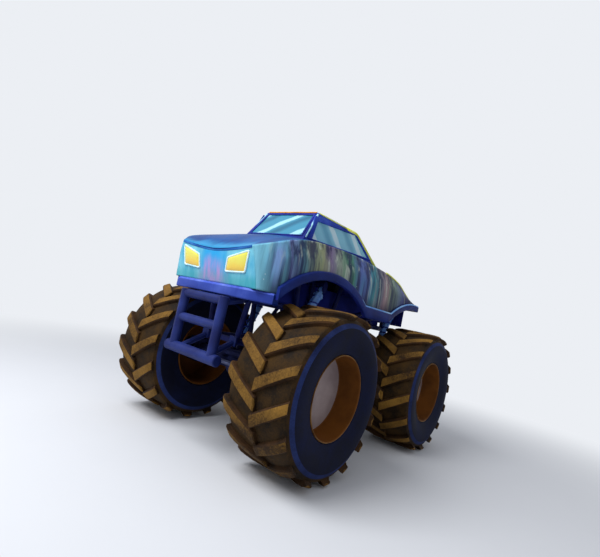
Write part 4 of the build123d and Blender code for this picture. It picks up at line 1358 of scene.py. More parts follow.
@dataclass
class BodyForm:
    """The lower body's surface, from tables along the truck: sides, creases, top and slanted nose."""

    foot: float = 1.70
    tail_x: float = -1.6
    nose_low: Pair = (1.972, 1.70)
    nose_top: Pair = (2.048, 2.11)
    x: tuple[float, ...] = (-1.6, -1.3, -0.95, -0.5, 0.3, 1.2, 1.5, 1.83, 2.06)
    side_top: tuple[float, ...] = (2.086, 2.13, 2.17, 2.19, 2.19, 2.16, 2.12, 2.04, 1.985)
    shoulder: tuple[float, ...] = (0.70, 0.70, 0.705, 0.70, 0.70, 0.715, 0.725, 0.735, 0.56)
    shoulder_z: tuple[float, ...] = (2.104, 2.215, 2.335, 2.402, 2.43, 2.378, 2.325, 2.222, 2.108)
    centre_z: tuple[float, ...] = (2.138, 2.275, 2.388, 2.44, 2.462, 2.432, 2.362, 2.205, 2.04)
    half_wide: float = 0.80
    taper: float = 0.215  # how far the sides are drawn in at the end of their taper
    taper_x: Pair = (1.83, 2.06)
    lean_x: float = 1.7  # ahead of here the front edge's slant begins to show
    bend: float = 0.25  # softness of the side's bend, as a share of the way to the shoulder
    flat: float = -1.5  # share of that way, below the side's top, under which the side is upright
    crown_out: float = 0.012
    crown_half: float = 0.6  # half-width of the nose's crown
    crown_power: float = 0.6  # its fullness with height
    front_arch: Triple = (0.92, 0.659, 1.331)  # x, z and radius
    rear_arch: Triple = (-1.48, 0.549, 1.441)

    def nose_x(self, z: Array) -> Array:
        """Where the slanted nose stands at a height."""
        (x0, z0), (x1, z1) = self.nose_low, self.nose_top
        return x0 + (x1 - x0) * (z - z0) / (z1 - z0)

    def half(self, x: Array) -> Array:
        """Half-width of the sides: even, then drawn in to the nose along a straight line."""
        start, stop = self.taper_x
        return self.half_wide - self.taper * np.maximum((x - start) / (stop - start), 0.0)

    def edge_y(self, x: Array) -> Array:
        """Half-width at the shoulder."""
        return smooth_table(x, self.x, self.shoulder)

    def edge_z(self, x: Array) -> Array:
        """Height of the shoulder."""
        return smooth_table(x, self.x, self.shoulder_z)

    def arch(self, x: Array, shape: Triple, grow: float = 0.0) -> Array:
        """Height of an arch's circle over a place, or its middle's height past its ends."""
        cx, cz, r = shape
        return cz + np.sqrt(np.maximum((r + grow) ** 2 - (x - cx) ** 2, 0.0))

    def arches(self, x: Array, grow: float = 0.0) -> Array:
        """Height of the higher of both arches."""
        return np.maximum(self.arch(x, self.front_arch, grow), self.arch(x, self.rear_arch, grow))

    def low_edge(self, x: Array) -> Array:
        """The sides' lower edge: the body's foot, or the arch above it."""
        return np.maximum(self.arches(x), self.foot)

    def crown(self, y: Array, share: Array) -> Array:
        """How far the nose bulges ahead of its plane: a parabola across, times a power of a sine.

        Args:
            y: places across the truck.
            share: 0 at the nose's foot to 1 at its top.

        Returns:
            The bulge.
        """
        across = np.clip(1 - (y / self.crown_half) ** 2, 0.0, 1.0)
        return self.crown_out * across * np.sin(np.pi * share) ** self.crown_power

    def lean(self, x: Array, z: Array) -> Array:
        """A place along the body, drawn back near the nose so that the front edge follows its slant."""
        back = np.maximum(self.nose_top[0] - self.nose_x(z), 0.0)
        return x - back * smoothstep(x, self.lean_x, self.nose_top[0])

    def wall(self, x: Array, z: Array) -> Array:
        """Points of the left side: a flat side, which leans in softly from its top to the shoulder.

        The lean is t plus the root of t squared and the bend squared, over its value at t = 1, where t
        runs from 0 at the side's top to 1 at the shoulder.

        Args:
            x: places along the truck.
            z: heights at each of them, as rows.

        Returns:
            Grid of points.
        """
        low, high = smooth_table(x, self.x, self.side_top), self.edge_z(x)
        t = (z - low) / (high - low)
        ramp = (t + np.sqrt(t * t + self.bend**2)) / (1 + math.sqrt(1 + self.bend**2))
        ramp = np.where(t < self.flat, 0.0, ramp)
        placed = self.lean(x, z)
        y = self.half(placed) + (self.edge_y(x) - self.half(x)) * ramp
        return np.stack([placed, y, z], -1)

    def top(self, x: Array, y: Array) -> Array:
        """Points of the top: from the centre line's height down to the shoulder's, as the 1.6th power.

        Args:
            x: places along the truck.
            y: places across it at each of them, as rows.

        Returns:
            Grid of points.
        """
        edge, centre = self.edge_z(x), smooth_table(x, self.x, self.centre_z)
        t = np.clip(np.abs(y) / self.edge_y(x), 0.0, 1.0)
        z = edge + (centre - edge) * (1 - t**1.6)
        return np.stack([np.broadcast_to(x, y.shape), y, z], -1)


@dataclass
class BodyShell:
    """The painted panels of the lower body: nose, hood, sides and rear deck with the tail."""

    form: BodyForm
    wall: float = 0.012
    hood_back: float = 1.17
    deck_front: float = -0.44
    kinks: tuple[float, ...] = (-1.6, -0.613, -0.44, 0.0906, 1.17, 1.749, 1.826, 1.83, 2.048)
    wide: int = 49  # points across the truck
    notch: float = 0.75  # share of the tail wall's half-width where a notch begins
    strip: Pair = (1.2, 0.46)  # x and half-width of the strips' inner edge
    strip_spread: float = 0.0378  # more half-width for each metre back

    def columns(self, low: float, high: float) -> Array:
        """Places along the body, with its kinks among them.

        Args:
            low: the first place.
            high: the last place.

        Returns:
            The places, ascending.
        """
        even = np.linspace(self.form.tail_x, self.form.nose_top[0], 96)
        every = np.union1d(even, self.kinks)
        return every[(every >= low) & (every <= high)]

    def cover(self, low: float, high: float) -> Array:
        """The whole width of the top between two places, as a grid of points."""
        x = self.columns(low, high)
        return self.form.top(x, np.linspace(-1, 1, self.wide)[:, None] * self.form.edge_y(x))

    def sides(self) -> Piece:
        """Makes the two sides, from the arches and the foot up to the shoulder.

        Returns:
            The new object.
        """
        skin = Skin("side_panels")
        x = self.columns(self.form.tail_x, self.form.nose_top[0])
        low, high = self.form.low_edge(x), self.form.edge_z(x)
        left = self.form.wall(x, low + (high - low) * np.linspace(0, 1, 26)[:, None])
        for side in Side:
            skin.grid(mirrored(left, side), 0, BODY_CORE)
        return skin.make([PAINT["streak"], PAINT["inner"]], False, wall=self.wall)

    def nose(self) -> Piece:
        """Makes the nose: a slanted, slightly crowned face between the two sides' front edges.

        Returns:
            The new object.
        """
        skin = Skin("nose_face")
        t = np.linspace(-1, 1, self.wide)
        x = np.full(self.wide, self.form.nose_top[0])
        edge = self.form.top(x, t * self.form.edge_y(x))[:, 2]
        v = np.linspace(0, 1, 30)[:, None]
        z = self.form.foot + (edge - self.form.foot) * v
        y = t * self.form.wall(x, z)[..., 1]
        ahead = np.minimum(self.form.nose_x(z), self.form.nose_top[0]) + self.form.crown(y, v)
        skin.grid(np.stack([ahead, y, z], -1), 0, BODY_CORE)
        return skin.make([PAINT["nose"], PAINT["inner"]], False, wall=self.wall)

    def hood(self) -> Piece:
        """Makes the hood and the strips of the top beside the cab.

        Returns:
            The new object.
        """
        skin = Skin("hood_top")
        skin.grid(self.cover(self.hood_back, self.form.nose_top[0]), 0, BODY_CORE)
        x = self.columns(self.deck_front, self.hood_back)
        inner = self.strip[1] + self.strip_spread * (self.strip[0] - x)
        s = np.linspace(0, 1, 10)[:, None]
        strip = self.form.top(x, inner + (self.form.edge_y(x) - inner) * s)
        for side in Side:
            skin.grid(mirrored(strip, side), 0, BODY_CORE)
        return skin.make([PAINT["hood"], PAINT["inner"]], False, wall=self.wall)

    def deck(self) -> Piece:
        """Makes the rear deck, and the tail wall below it with a notch at each arch.

        Returns:
            The new object.
        """
        skin = Skin("deck_and_tail")
        skin.grid(self.cover(self.form.tail_x, self.deck_front), 0, BODY_CORE)
        tail = np.full(self.wide, self.form.tail_x)
        arch, foot, notch = float(self.form.low_edge(tail)[0]), self.form.foot, self.notch
        for start, stop, low in ((-1.0, -notch, arch), (-notch, notch, foot), (notch, 1.0, arch)):
            share = np.linspace(start, stop, self.wide)
            upper = self.form.top(tail, share * self.form.edge_y(tail))[:, 2]
            z = low + (upper - low) * np.linspace(0, 1, 24)[:, None]
            y = share * self.form.wall(tail, z)[..., 1]
            skin.grid(np.stack([np.broadcast_to(tail, y.shape), y, z], -1), 1, BODY_CORE)
        return skin.make([PAINT["deck"], PAINT["tail"], PAINT["inner"]], False, wall=self.wall)

    def dress(self) -> None:
        """Builds the panels and puts them on the truck."""
        settle(self.sides(), "truck", "body", "body_sides")
        settle(self.nose(), "truck", "body", "nose_panel")
        settle(self.hood(), "truck", "body", "hood")
        settle(self.deck(), "truck", "body", "rear_deck")


@dataclass
class Cab:
    """The cab: four leaning walls with window openings, a pillowed roof and raised window frames."""

    foot_z: float = 2.38
    eave_z: float = 2.80
    front: Pair = (1.25, 0.975)  # x at the foot and at the eave
    rear: Pair = (-0.60, 0.10)
    half: Pair = (0.49, 0.43)  # half-width at the front wall's foot and eave
    spread: float = 0.0378  # more half-width for each metre back
    roof_rise: float = 0.046
    wall: float = 0.012
    side_window: Pairs = ((1.075, 2.45), (0.985, 2.69), (0.14, 2.765), (-0.215, 2.535))
    side_frame: Pairs = ((1.150, 2.436), (1.040, 2.748), (0.118, 2.797), (-0.292, 2.520))
    screen: Pairs = ((0.415, 2.462), (0.372, 2.765))  # half-width and height, below and above
    rear_screen: Pairs = ((0.470, 2.50), (0.395, 2.75))
    frame_wide: Pair = (0.03, 0.035)  # of the screens' frames, front and rear
    frame: Pairs = (  # a frame's section: share of the way to the opening, and step out
        (0.0, -0.002),
        (0.0, 0.005),
        (0.12, 0.010),
        (0.88, 0.010),
        (1.0, 0.005),
        (1.0, -0.004),
        (0.5, -0.006),
    )
    # finish 1, the yellow-green, is painted rim light
    beads: tuple[tuple[int, float, Pairs], ...] = (  # finish, radius, and x and z of its line
        (2, 0.013, ((1.192, 2.44), (0.982, 2.785))),
        (1, 0.009, ((0.96, 2.802), (0.10, 2.802))),
        (1, 0.031, ((0.34, 2.800), (0.095, 2.80), (-0.50, 2.43))),
    )
    # orange bead across the roof's front: painted rim light
    brow: tuple[Point, Point] = ((0.975, -0.40, 2.806), (0.975, 0.40, 2.806))
    brow_size: float = 0.009

    def share(self, z: Array) -> Array:
        """How far up the wall a height is, from 0 at the foot to 1 at the eave."""
        return (z - self.foot_z) / (self.eave_z - self.foot_z)

    def front_x(self, z: Array) -> Array:
        """Where the front wall stands at a height."""
        return self.front[0] + (self.front[1] - self.front[0]) * self.share(z)

    def rear_x(self, z: Array) -> Array:
        """Where the rear wall stands at a height."""
        return self.rear[0] + (self.rear[1] - self.rear[0]) * self.share(z)

    def side_y(self, x: Array, z: Array) -> Array:
        """Half-width: less with height, and more toward the rear."""
        at_front = self.half[0] + (self.half[1] - self.half[0]) * self.share(z)
        return at_front + self.spread * (self.front_x(z) - x)

    def on_side(self, ring: Array, out: Array | float = 0.0) -> Array:
        """Points of the left wall from x and z, moved out by a little."""
        x, z = ring[..., 0], ring[..., 1]
        return np.stack([x, self.side_y(x, z) + out, z], -1)

    def on_end(self, ring: Array, end: End, out: Array | float = 0.0) -> Array:
        """Points of the front or the rear wall from y and z, moved out by a little.

        Args:
            ring: y and z of each point.
            end: which wall.
            out: how far they are moved out.

        Returns:
            The points.
        """
        y, z = ring[..., 0], ring[..., 1]
        x = self.front_x(z) + out if end is End.FRONT else self.rear_x(z) - out
        return np.stack([x, y, z], -1)

    def loop(self, corners: Pairs, steps: int = 12) -> Array:
        """A polygon's edge as evenly divided points, corner after corner.

        Args:
            corners: of the polygon.
            steps: points on each of its edges.

        Returns:
            The points.
        """
        points = np.array(corners)
        after = np.roll(points, -1, axis=0)
        t = np.arange(steps)[None, :, None] / steps
        return (points[:, None] * (1 - t) + after[:, None] * t).reshape(-1, 2)

    def band(self, outer: Pairs, inner: Pairs, shares: Array) -> Array:
        """Rings between two polygons.

        Args:
            outer: the outer polygon's corners.
            inner: the inner polygon's corners.
            shares: of the way from the outer to the inner one.

        Returns:
            Grid of rings by points.
        """
        part = shares.reshape(-1, 1, 1)
        return self.loop(outer) * (1 - part) + self.loop(inner) * part

    def outline(self, end: End) -> Pairs:
        """Corners of the front or the rear wall, as y and z.

        Args:
            end: which wall.

        Returns:
            The corners.
        """
        ring = []
        for z in (self.foot_z, self.eave_z):
            x = self.front_x(z) if end is End.FRONT else self.rear_x(z)
            ring.append((float(self.side_y(x, z)), z))
        return self.pane(tuple(ring))

    def pane(self, edges: Pairs) -> Pairs:
        """Corners of a shape that is even on both sides, from its half-widths and heights."""
        (w0, z0), (w1, z1) = edges
        return ((-w0, z0), (w0, z0), (w1, z1), (-w1, z1))

    def shell(self) -> Piece:
        """Makes the walls as bands from their outer edges to the openings, and the roof.

        The roof's rise over the eave is the roof's height times the root of 1 - a^4 and of 1 - b^4,
        where a and b run from -1 to 1 along and across it.

        Returns:
            The new object.
        """
        skin = Skin("cab_walls")
        shares = np.linspace(0, 1, 4)
        xs, zs = (*self.front, *self.rear[::-1]), (self.foot_z, self.eave_z, self.eave_z, self.foot_z)
        ring = self.band(tuple(zip(xs, zs)), self.side_window, shares)
        for side in Side:
            skin.grid(mirrored(self.on_side(ring), side), 0, CAB_CORE, loop_cols=True)
        for end, edges, slot in zip(End, (self.screen, self.rear_screen), (1, 0)):
            ring = self.band(self.outline(end), self.pane(edges), shares)
            skin.grid(self.on_end(ring, end), slot, CAB_CORE, loop_cols=True)
        a, b = np.meshgrid(eased(25), eased(25), indexing="ij")
        x = (self.front[1] + self.rear[1]) / 2 + (self.front[1] - self.rear[1]) / 2 * a
        y = b * self.side_y(x, np.full(x.shape, self.eave_z))
        z = self.eave_z + self.roof_rise * np.sqrt((1 - a**4).clip(0)) * np.sqrt((1 - b**4).clip(0))
        skin.grid(np.stack([x, y, z], -1), 2, CAB_CORE)
        finishes = [PAINT[name] for name in ("frame_blue", "screen_frame", "roof", "inner")]
        return skin.make(finishes, False, wall=self.wall)

    def frames(self) -> Piece:
        """Makes raised window frames: a flat band with bevelled edges round each opening.

        Returns:
            The new object.
        """
        skin = Skin("window_frames")
        share, out = np.array(self.frame).T[..., None]
        ring = self.on_side(self.band(self.side_frame, self.side_window, share), out)
        for side in Side:
            skin.grid(mirrored(ring, side), 0, loop_rows=True, loop_cols=True)
        for end, edges, wide in zip(End, (self.screen, self.rear_screen), self.frame_wide):
            (w0, z0), (w1, z1) = edges
            outer = ((w0 + wide, z0 - 0.5 * wide), (w1 + 0.8 * wide, z1 + 0.7 * wide))
            ring = self.on_end(self.band(self.pane(outer), self.pane(edges), share), end, out)
            skin.grid(ring, 1, loop_rows=True, loop_cols=True)
        return skin.make([PAINT["frame_blue"], PAINT["screen_frame"]], sharp=30)

    def beads_and_rim_light(self) -> Piece:
        """Makes thin coloured beads: cyan down the pillars, and yellow-green and orange round the roof
        as painted rim light.

        Returns:
            The new object.
        """
        skin = Skin("cab_beads")
        for slot, radius, line in self.beads:
            sunk = 0.4 * radius
            path = [(x, float(self.side_y(x, z)) - sunk, z - sunk) for x, z in line]
            for side in Side:
                points = mirrored(rounded(path, 0.06), side)
                skin.grid(tube(points, radius, sides=10), slot, loop_cols=True)
        skin.grid(tube(self.brow, self.brow_size, sides=10), 0, loop_cols=True)
        return skin.make([PAINT["rim_light_orange"], PAINT["rim_light_lime"], PAINT["cyan"]], sharp=60)

    def dress(self) -> None:
        """Builds the cab and puts it on the truck."""
        settle(self.shell(), "truck", "body", "cab_shell")
        settle(self.frames(), "truck", "trim")
        settle(self.beads_and_rim_light(), "truck", "body")


@dataclass
class NoseWork:
    """Lamps at both ends, the headlamps' rims, the painted-shade crease over the nose and the deck's
    edge beads of painted rim light.
    """

    form: BodyForm
    lamp: Pairs = ((0.215, 1.826), (0.236, 1.968), (0.532, 2.056), (0.498, 1.842))
    dome: float = 0.014
    proud: float = 0.002  # how far a lens stands ahead of the nose at its edge
    rim: float = 0.0095  # radius of its rim's bead
    rim_out: float = 0.004
    rim_bend: float = 0.022
    face: float = 0.39  # height of the nose's crowned face
    crease_section: Pairs = (  # steps ahead and up
        (-0.012, -0.011),
        (0.002, -0.011),
        (0.005, -0.007),
        (0.006, 0.009),
        (0.002, 0.015),
        (-0.012, 0.018),
    )
    crease_wide: float = 0.985  # its share of the shoulder's width
    crease_in: float = 0.001
    crease_drop: float = 0.016
    tail_lamp: tuple[float, float, float, float] = (0.330, 0.520, 1.905, 1.985)  # y and z, from and to
    tail_dome: float = 0.008
    tail_proud: float = 0.0005
    deck_start: float = -0.52
    # radius of the deck's painted rim-light bead
    deck_rim_light_bead: float = 0.012
    lens_wall: float = 0.01

    def on_nose(self, y: Array, z: Array, out: Array | float) -> Array:
        """Points ahead of the nose's face.

        Args:
            y: places across the truck.
            z: heights.
            out: how far ahead.

        Returns:
            The points.
        """
        share = np.clip((z - self.form.foot) / self.face, 0.0, 1.0)
        return np.stack([self.form.nose_x(z) + self.form.crown(y, share) + out, y, z], -1)

    def cushion(self, count: int) -> tuple[Array, Array, Array]:
        """A domed square: two coordinates from 0 to 1, and a rise of 1 - a^6 times 1 - b^6.

        Args:
            count: points along each edge.

        Returns:
            Both coordinates, and the rise from 0 at the edge to 1 in the middle.
        """
        a, b = np.meshgrid(eased(count), eased(count))
        return (a + 1) / 2, (b + 1) / 2, (1 - a**6) * (1 - b**6)

    def lenses(self) -> Piece:
        """Makes two domed lenses, whose four corners are blended evenly.

        Returns:
            The new object.
        """
        skin = Skin("headlamp_lenses")
        u, v, rise = self.cushion(21)
        y, z = (
            p * (1 - u) * (1 - v) + q * (1 - u) * v + r * u * v + s * u * (1 - v)
            for p, q, r, s in zip(*self.lamp)
        )
        dome = self.on_nose(y, z, self.proud + self.dome * rise)
        for side in Side:
            skin.grid(mirrored(dome, side), 0, NOSE_AWAY)
        return skin.make([PAINT["lens"]], False, wall=self.lens_wall)

    def rims(self) -> Piece:
        """Makes a bead round each headlamp.

        Returns:
            The new object.
        """
        skin = Skin("headlamp_rims")
        corners = np.array(self.lamp)
        turn, run = np.linspace(0, 1, 6)[:, None], np.linspace(0.1, 0.9, 7)[:, None]
        pieces = []
        earlier, later = np.roll(corners, 1, axis=0), np.roll(corners, -1, axis=0)
        for before, corner, after in zip(earlier, corners, later):
            start = corner + unit(after - corner) * self.rim_bend
            stop = after + unit(corner - after) * self.rim_bend
            pieces += [bent(before, corner, after, self.rim_bend, turn), start + (stop - start) * run]
        ring = np.concatenate(pieces)
        path = self.on_nose(ring[:, 0], ring[:, 1], self.rim_out)
        for side in Side:
            bead = tube(mirrored(path, side), self.rim, sides=10, closed=True)
            skin.grid(bead, 0, loop_rows=True, loop_cols=True)
        return skin.make([PAINT["rim_white"]], sharp=60)

    def crease(self) -> Piece:
        """Makes a dark band of painted shade under the hood's leading edge.

        Returns:
            The new object.
        """
        skin = Skin("nose_crease")
        t = np.linspace(-1, 1, 61)
        x = np.full(t.shape, self.form.nose_top[0])
        y = t * self.crease_wide * self.form.edge_y(x)
        edge = self.form.top(x, y)[:, 2]
        ahead = np.minimum(self.form.nose_x(edge), self.form.nose_top[0]) - self.crease_in
        path = np.stack([ahead, y, edge - self.crease_drop], -1)
        out = np.broadcast_to([1.0, 0.0, 0.0], path.shape)
        up = np.broadcast_to([0.0, 0.0, 1.0], path.shape)
        skin.grid(capped(carried(path, self.crease_section, out, up)), 0, loop_cols=True)
        return skin.make([PAINT["crease"]], sharp=40)

    def tail_lenses(self) -> Piece:
        """Makes two low cushions of red lens on the tail wall.

        Returns:
            The new object.
        """
        skin = Skin("tail_lamp_lenses")
        y0, y1, z0, z1 = self.tail_lamp
        u, v, rise = self.cushion(15)
        x = self.form.tail_x - self.tail_proud - self.tail_dome * rise
        dome = np.stack([x, y0 + (y1 - y0) * u, z0 + (z1 - z0) * v], -1)
        for side in Side:
            skin.grid(mirrored(dome, side), 0, TAIL_AWAY)
        return skin.make([PAINT["tail_lens"]], False, wall=self.lens_wall)

    def deck_beads(self) -> Piece:
        """Makes a thin yellow bead of painted rim light down each side of the deck and over the tail.

        Returns:
            The new object.
        """
        skin = Skin("deck_beads")
        x = np.linspace(self.deck_start, self.form.tail_x, 40)
        left = np.stack([x, self.form.edge_y(x), self.form.edge_z(x) + 0.001], -1)
        end = np.full(41, self.form.tail_x)
        over = self.form.top(end, np.linspace(1, -1, 41) * self.form.edge_y(end))
        path = np.concatenate([left, over[1:-1], mirrored(left[::-1], Side.RIGHT)])
        skin.grid(tube(path, self.deck_rim_light_bead, sides=8), 0, loop_cols=True)
        return skin.make([PAINT["rim_light_lime"]], sharp=60)

    def dress(self) -> None:
        """Builds the lamps and the beads and puts them on the truck."""
        settle(self.lenses(), "truck", "lamp", "headlamps")
        settle(self.rims(), "truck", "body")
        settle(self.crease(), "truck", "trim")
        settle(self.tail_lenses(), "truck", "tail_lamp", "tail_lamps")
        settle(self.deck_beads(), "truck", "body")


@dataclass
class LowerTrim:
    """Flares over the arches and the sill between them, as one band on each side."""

    form: BodyForm
    side: Side
    inner_y: float = 0.79
    outer_y: float = 0.838
    wide: float = 0.10
    sill: Triple = (-0.76, 0.24, 1.85)  # its start, end and top
    foot: float = 1.69
    front_x: float = 1.826
    front_foot: float = 1.64
    step_x: float = 1.0  # ahead of here the foot is the front one
    bevel: float = 0.012
    kinks: tuple[float, ...] = (-1.6, -0.654, -0.613, 0.0906, 0.127, 0.24, 1.826)

    def edges(self, x: Array) -> tuple[Array, Array]:
        """The band's lower and upper edges: the arches' circles, the sill's lines, and those grown.

        Args:
            x: places along the truck.

        Returns:
            Heights of the lower and of the upper edge.
        """
        start, stop, top = self.sill
        foot = np.where(x > self.step_x, self.front_foot, self.foot)
        sill = np.where((x >= start) & (x <= stop), top, 0.0)
        return np.maximum(foot, self.form.arches(x)), np.maximum(self.form.arches(x, self.wide), sill)

    def rows(self, x: Array) -> Array:
        """The band's section at each place: back, lower bevel, face, upper bevel.

        Args:
            x: places along the truck.

        Returns:
            Grid of places by corners.
        """
        low, high = self.edges(x)
        b = self.bevel
        steps = [
            (self.inner_y, low),
            (self.outer_y - b, low),
            (self.outer_y - 0.3 * b, low + 0.3 * b),
            (self.outer_y, low + b),
            (self.outer_y, high - 1.6 * b),
            (self.outer_y - 0.4 * b, high - 0.5 * b),
            (self.outer_y - 1.2 * b, high),
            (self.inner_y, high),
        ]
        return np.stack([np.stack([x, np.full(x.shape, y), z], -1) for y, z in steps], 1)

    def build(self) -> Piece:
        """Makes the band in two lengths, whose upper edges differ in colour: the rear length's upper
        bevel carries a painted highlight.

        Returns:
            The new object.
        """
        skin = Skin(f"flares_and_sill_{self.side.word}")
        every = np.union1d(np.linspace(self.form.tail_x, self.front_x, 190), self.kinks)
        rear = self.rows(every[every <= self.sill[1]])
        front = self.rows(every[every >= self.sill[1]])
        # slot 2 on the upper bevel: pale blue painted highlight
        highlight_edge = np.array([[1, 0, 0, 0, 2, 2, 0, 0]])
        plain = np.array([[1, 0, 0, 0, 0, 0, 0, 0]])
        rear = np.concatenate([gathered(rear[0]), rear])
        front = np.concatenate([front, gathered(front[-1])])
        skin.grid(mirrored(rear, self.side), highlight_edge, loop_cols=True)
        skin.grid(mirrored(front, self.side), plain, loop_cols=True)
        return skin.make([PAINT["flare"], PAINT["inner"], PAINT["sill_edge"]], sharp=40)

    def dress(self) -> None:
        """Builds the band and puts it on the truck."""
        settle(self.build(), "truck", "trim", f"lower_trim_{self.side.word}")


@dataclass
class InnerPanels:
    """Flat sheets above the upper rails, one on each side of the cockpit and the engine."""

    y: float = 0.2475
    thick: float = 0.003
    low: float = 1.636
    high: float = 1.955
    back: float = -1.44
    front: float = 1.62
    rib: float = 0.0025  # a rib's depth
    pitch: float = 0.255  # from rib to rib

    def build(self) -> Piece:
        """Makes both sheets, each pressed with shallow upright ribs that follow a sine.

        Returns:
            The new object.
        """
        skin = Skin("inner_side_panels")
        x, z = np.meshgrid(np.linspace(self.back, self.front, 240), np.linspace(self.low, self.high, 12))
        fade = np.sin(np.pi * (z - self.low) / (self.high - self.low)) ** 0.5
        press = self.rib * np.clip(np.sin(x * 2 * np.pi / self.pitch), 0, 1) * fade
        for side in Side:
            sheet = mirrored(np.stack([x, self.y - press, z], -1), side)
            skin.grid(sheet, 0, BODY_CORE)
        return skin.make([PAINT["inner"]], False, wall=self.thick)

    def dress(self) -> None:
        """Builds the sheets and puts them on the truck."""
        settle(self.build(), "truck", "frame")


@dataclass
class Bumper:
    """Bumper round the nose's foot: a section with a rounded upper edge, carried round the plan."""

    plan: Pairs = ((1.770, 0.7997), (1.852, 0.7997), (1.994, 0.572))
    section: Pairs = (  # depth behind the plan, and height
        (0.008, 1.586),
        (0.0, 1.594),
        (0.0, 1.676),
        (0.004, 1.688),
        (0.013, 1.696),
        (0.026, 1.70),
        (0.062, 1.70),
        (0.066, 1.694),
        (0.066, 1.59),
        (0.062, 1.586),
    )
    # indigo face, painted highlight on the rounded upper edge, the lining, and painted shade on the side
    # runs
    finishes: tuple[str, ...] = ("bumper", "bumper_edge", "inner", "bumper_side")
    slots: tuple[int, ...] = (0, 0, 1, 1, 1, 0, 0, 2, 2, 0)  # finish of each face round the section

    def build(self) -> Piece:
        """Makes the bumper, mitred at the plan's corners.

        Returns:
            The new object.
        """
        skin = Skin("bumper_wrapped")
        plan = np.array([*self.plan, *[(x, -y) for x, y in reversed(self.plan)]])
        runs = unit(np.diff(plan, axis=0))
        normal = np.column_stack([runs[:, 1], -runs[:, 0]])
        first, second = np.vstack([normal[:1], normal]), np.vstack([normal, normal[-1:]])
        mitre = unit(first + second)
        mitre /= np.sum(mitre * second, axis=1, keepdims=True)
        deep, z = np.array(self.section).T
        xy = plan[:, None] + mitre[:, None] * deep[None, :, None]
        ring = np.concatenate([xy, np.broadcast_to(z[None, :, None], (*xy.shape[:2], 1))], -1)
        slots = np.tile(self.slots, (len(plan) + 1, 1))
        # the side runs are painted darker blue as painted shade
        slots[[0, 1, 5, 6], :3] = self.finishes.index("bumper_side")
        skin.grid(capped(ring), slots, loop_cols=True)
        return skin.make([PAINT[name] for name in self.finishes], sharp=32, bevel=0.003)

    def dress(self) -> None:
        """Builds the bumper and puts it on the truck."""
        settle(self.build(), "truck", "bumper", "front_bumper")


@dataclass
class FramePieces:
    """The frame's own pieces that stay, each in the finish of its material slot."""

    finishes: dict[str, str] = field(
        default_factory=lambda: {
            "axle": "axle",
            "steel": "steel",
            "frame": "frame",
            "skid": "skid",
            "shock": "shock",
            "engine": "engine",
            "cockpit": "cockpit",
            "floor": "floor",
        }
    )

    def dress(self) -> None:
        """Gives each node its finish through its object's material slots."""
        for part in frame["record"]["subparts"]:
            piece, slot = frame["nodes"][part["node"]], part["material_slot"]
            material = METAL.get(self.finishes.get(slot, "")) or GLASS.get(part["node"])
            if material is None:
                continue
            for holder in piece.material_slots:
                holder.material = material
            log.info("%s: finish %s", piece.name, material.name)


# Studio


@dataclass
class PhotoCamera:
    """Camera at the photograph's viewing angle, as solved from it."""

    place: Point = (4.6156, 3.3201, 1.5546)
    pitch: float = -0.0896
    heading: float = 0.6837
    roll: float = 0.2115
    focal_px: float = 390.99
    width_px: float = 600.0
    sensor: float = 36.0

    def build(self) -> None:
        """Makes the camera from its heading, pitch and roll, and sets it as the scene's."""
        level, rise = math.cos(self.pitch), math.sin(self.pitch)
        back = np.array([math.cos(self.heading) * level, math.sin(self.heading) * level, rise])
        right = unit(np.cross(-back, [0.0, 0.0, 1.0]))
        up = np.cross(right, -back)
        turned = math.cos(self.roll) * right + math.sin(self.roll) * up
        over = -math.sin(self.roll) * right + math.cos(self.roll) * up
        rows = [[turned[i], over[i], back[i], self.place[i]] for i in range(3)]
        camera = bpy.data.objects.new("photo_camera", bpy.data.cameras.new("photo_camera"))
        camera.data.sensor_width = self.sensor
        camera.data.lens = self.focal_px * self.sensor / self.width_px
        camera.matrix_world = Matrix([*rows, [0.0, 0.0, 0.0, 1.0]])
        bpy.context.scene.collection.objects.link(camera)
        bpy.context.scene.camera = camera


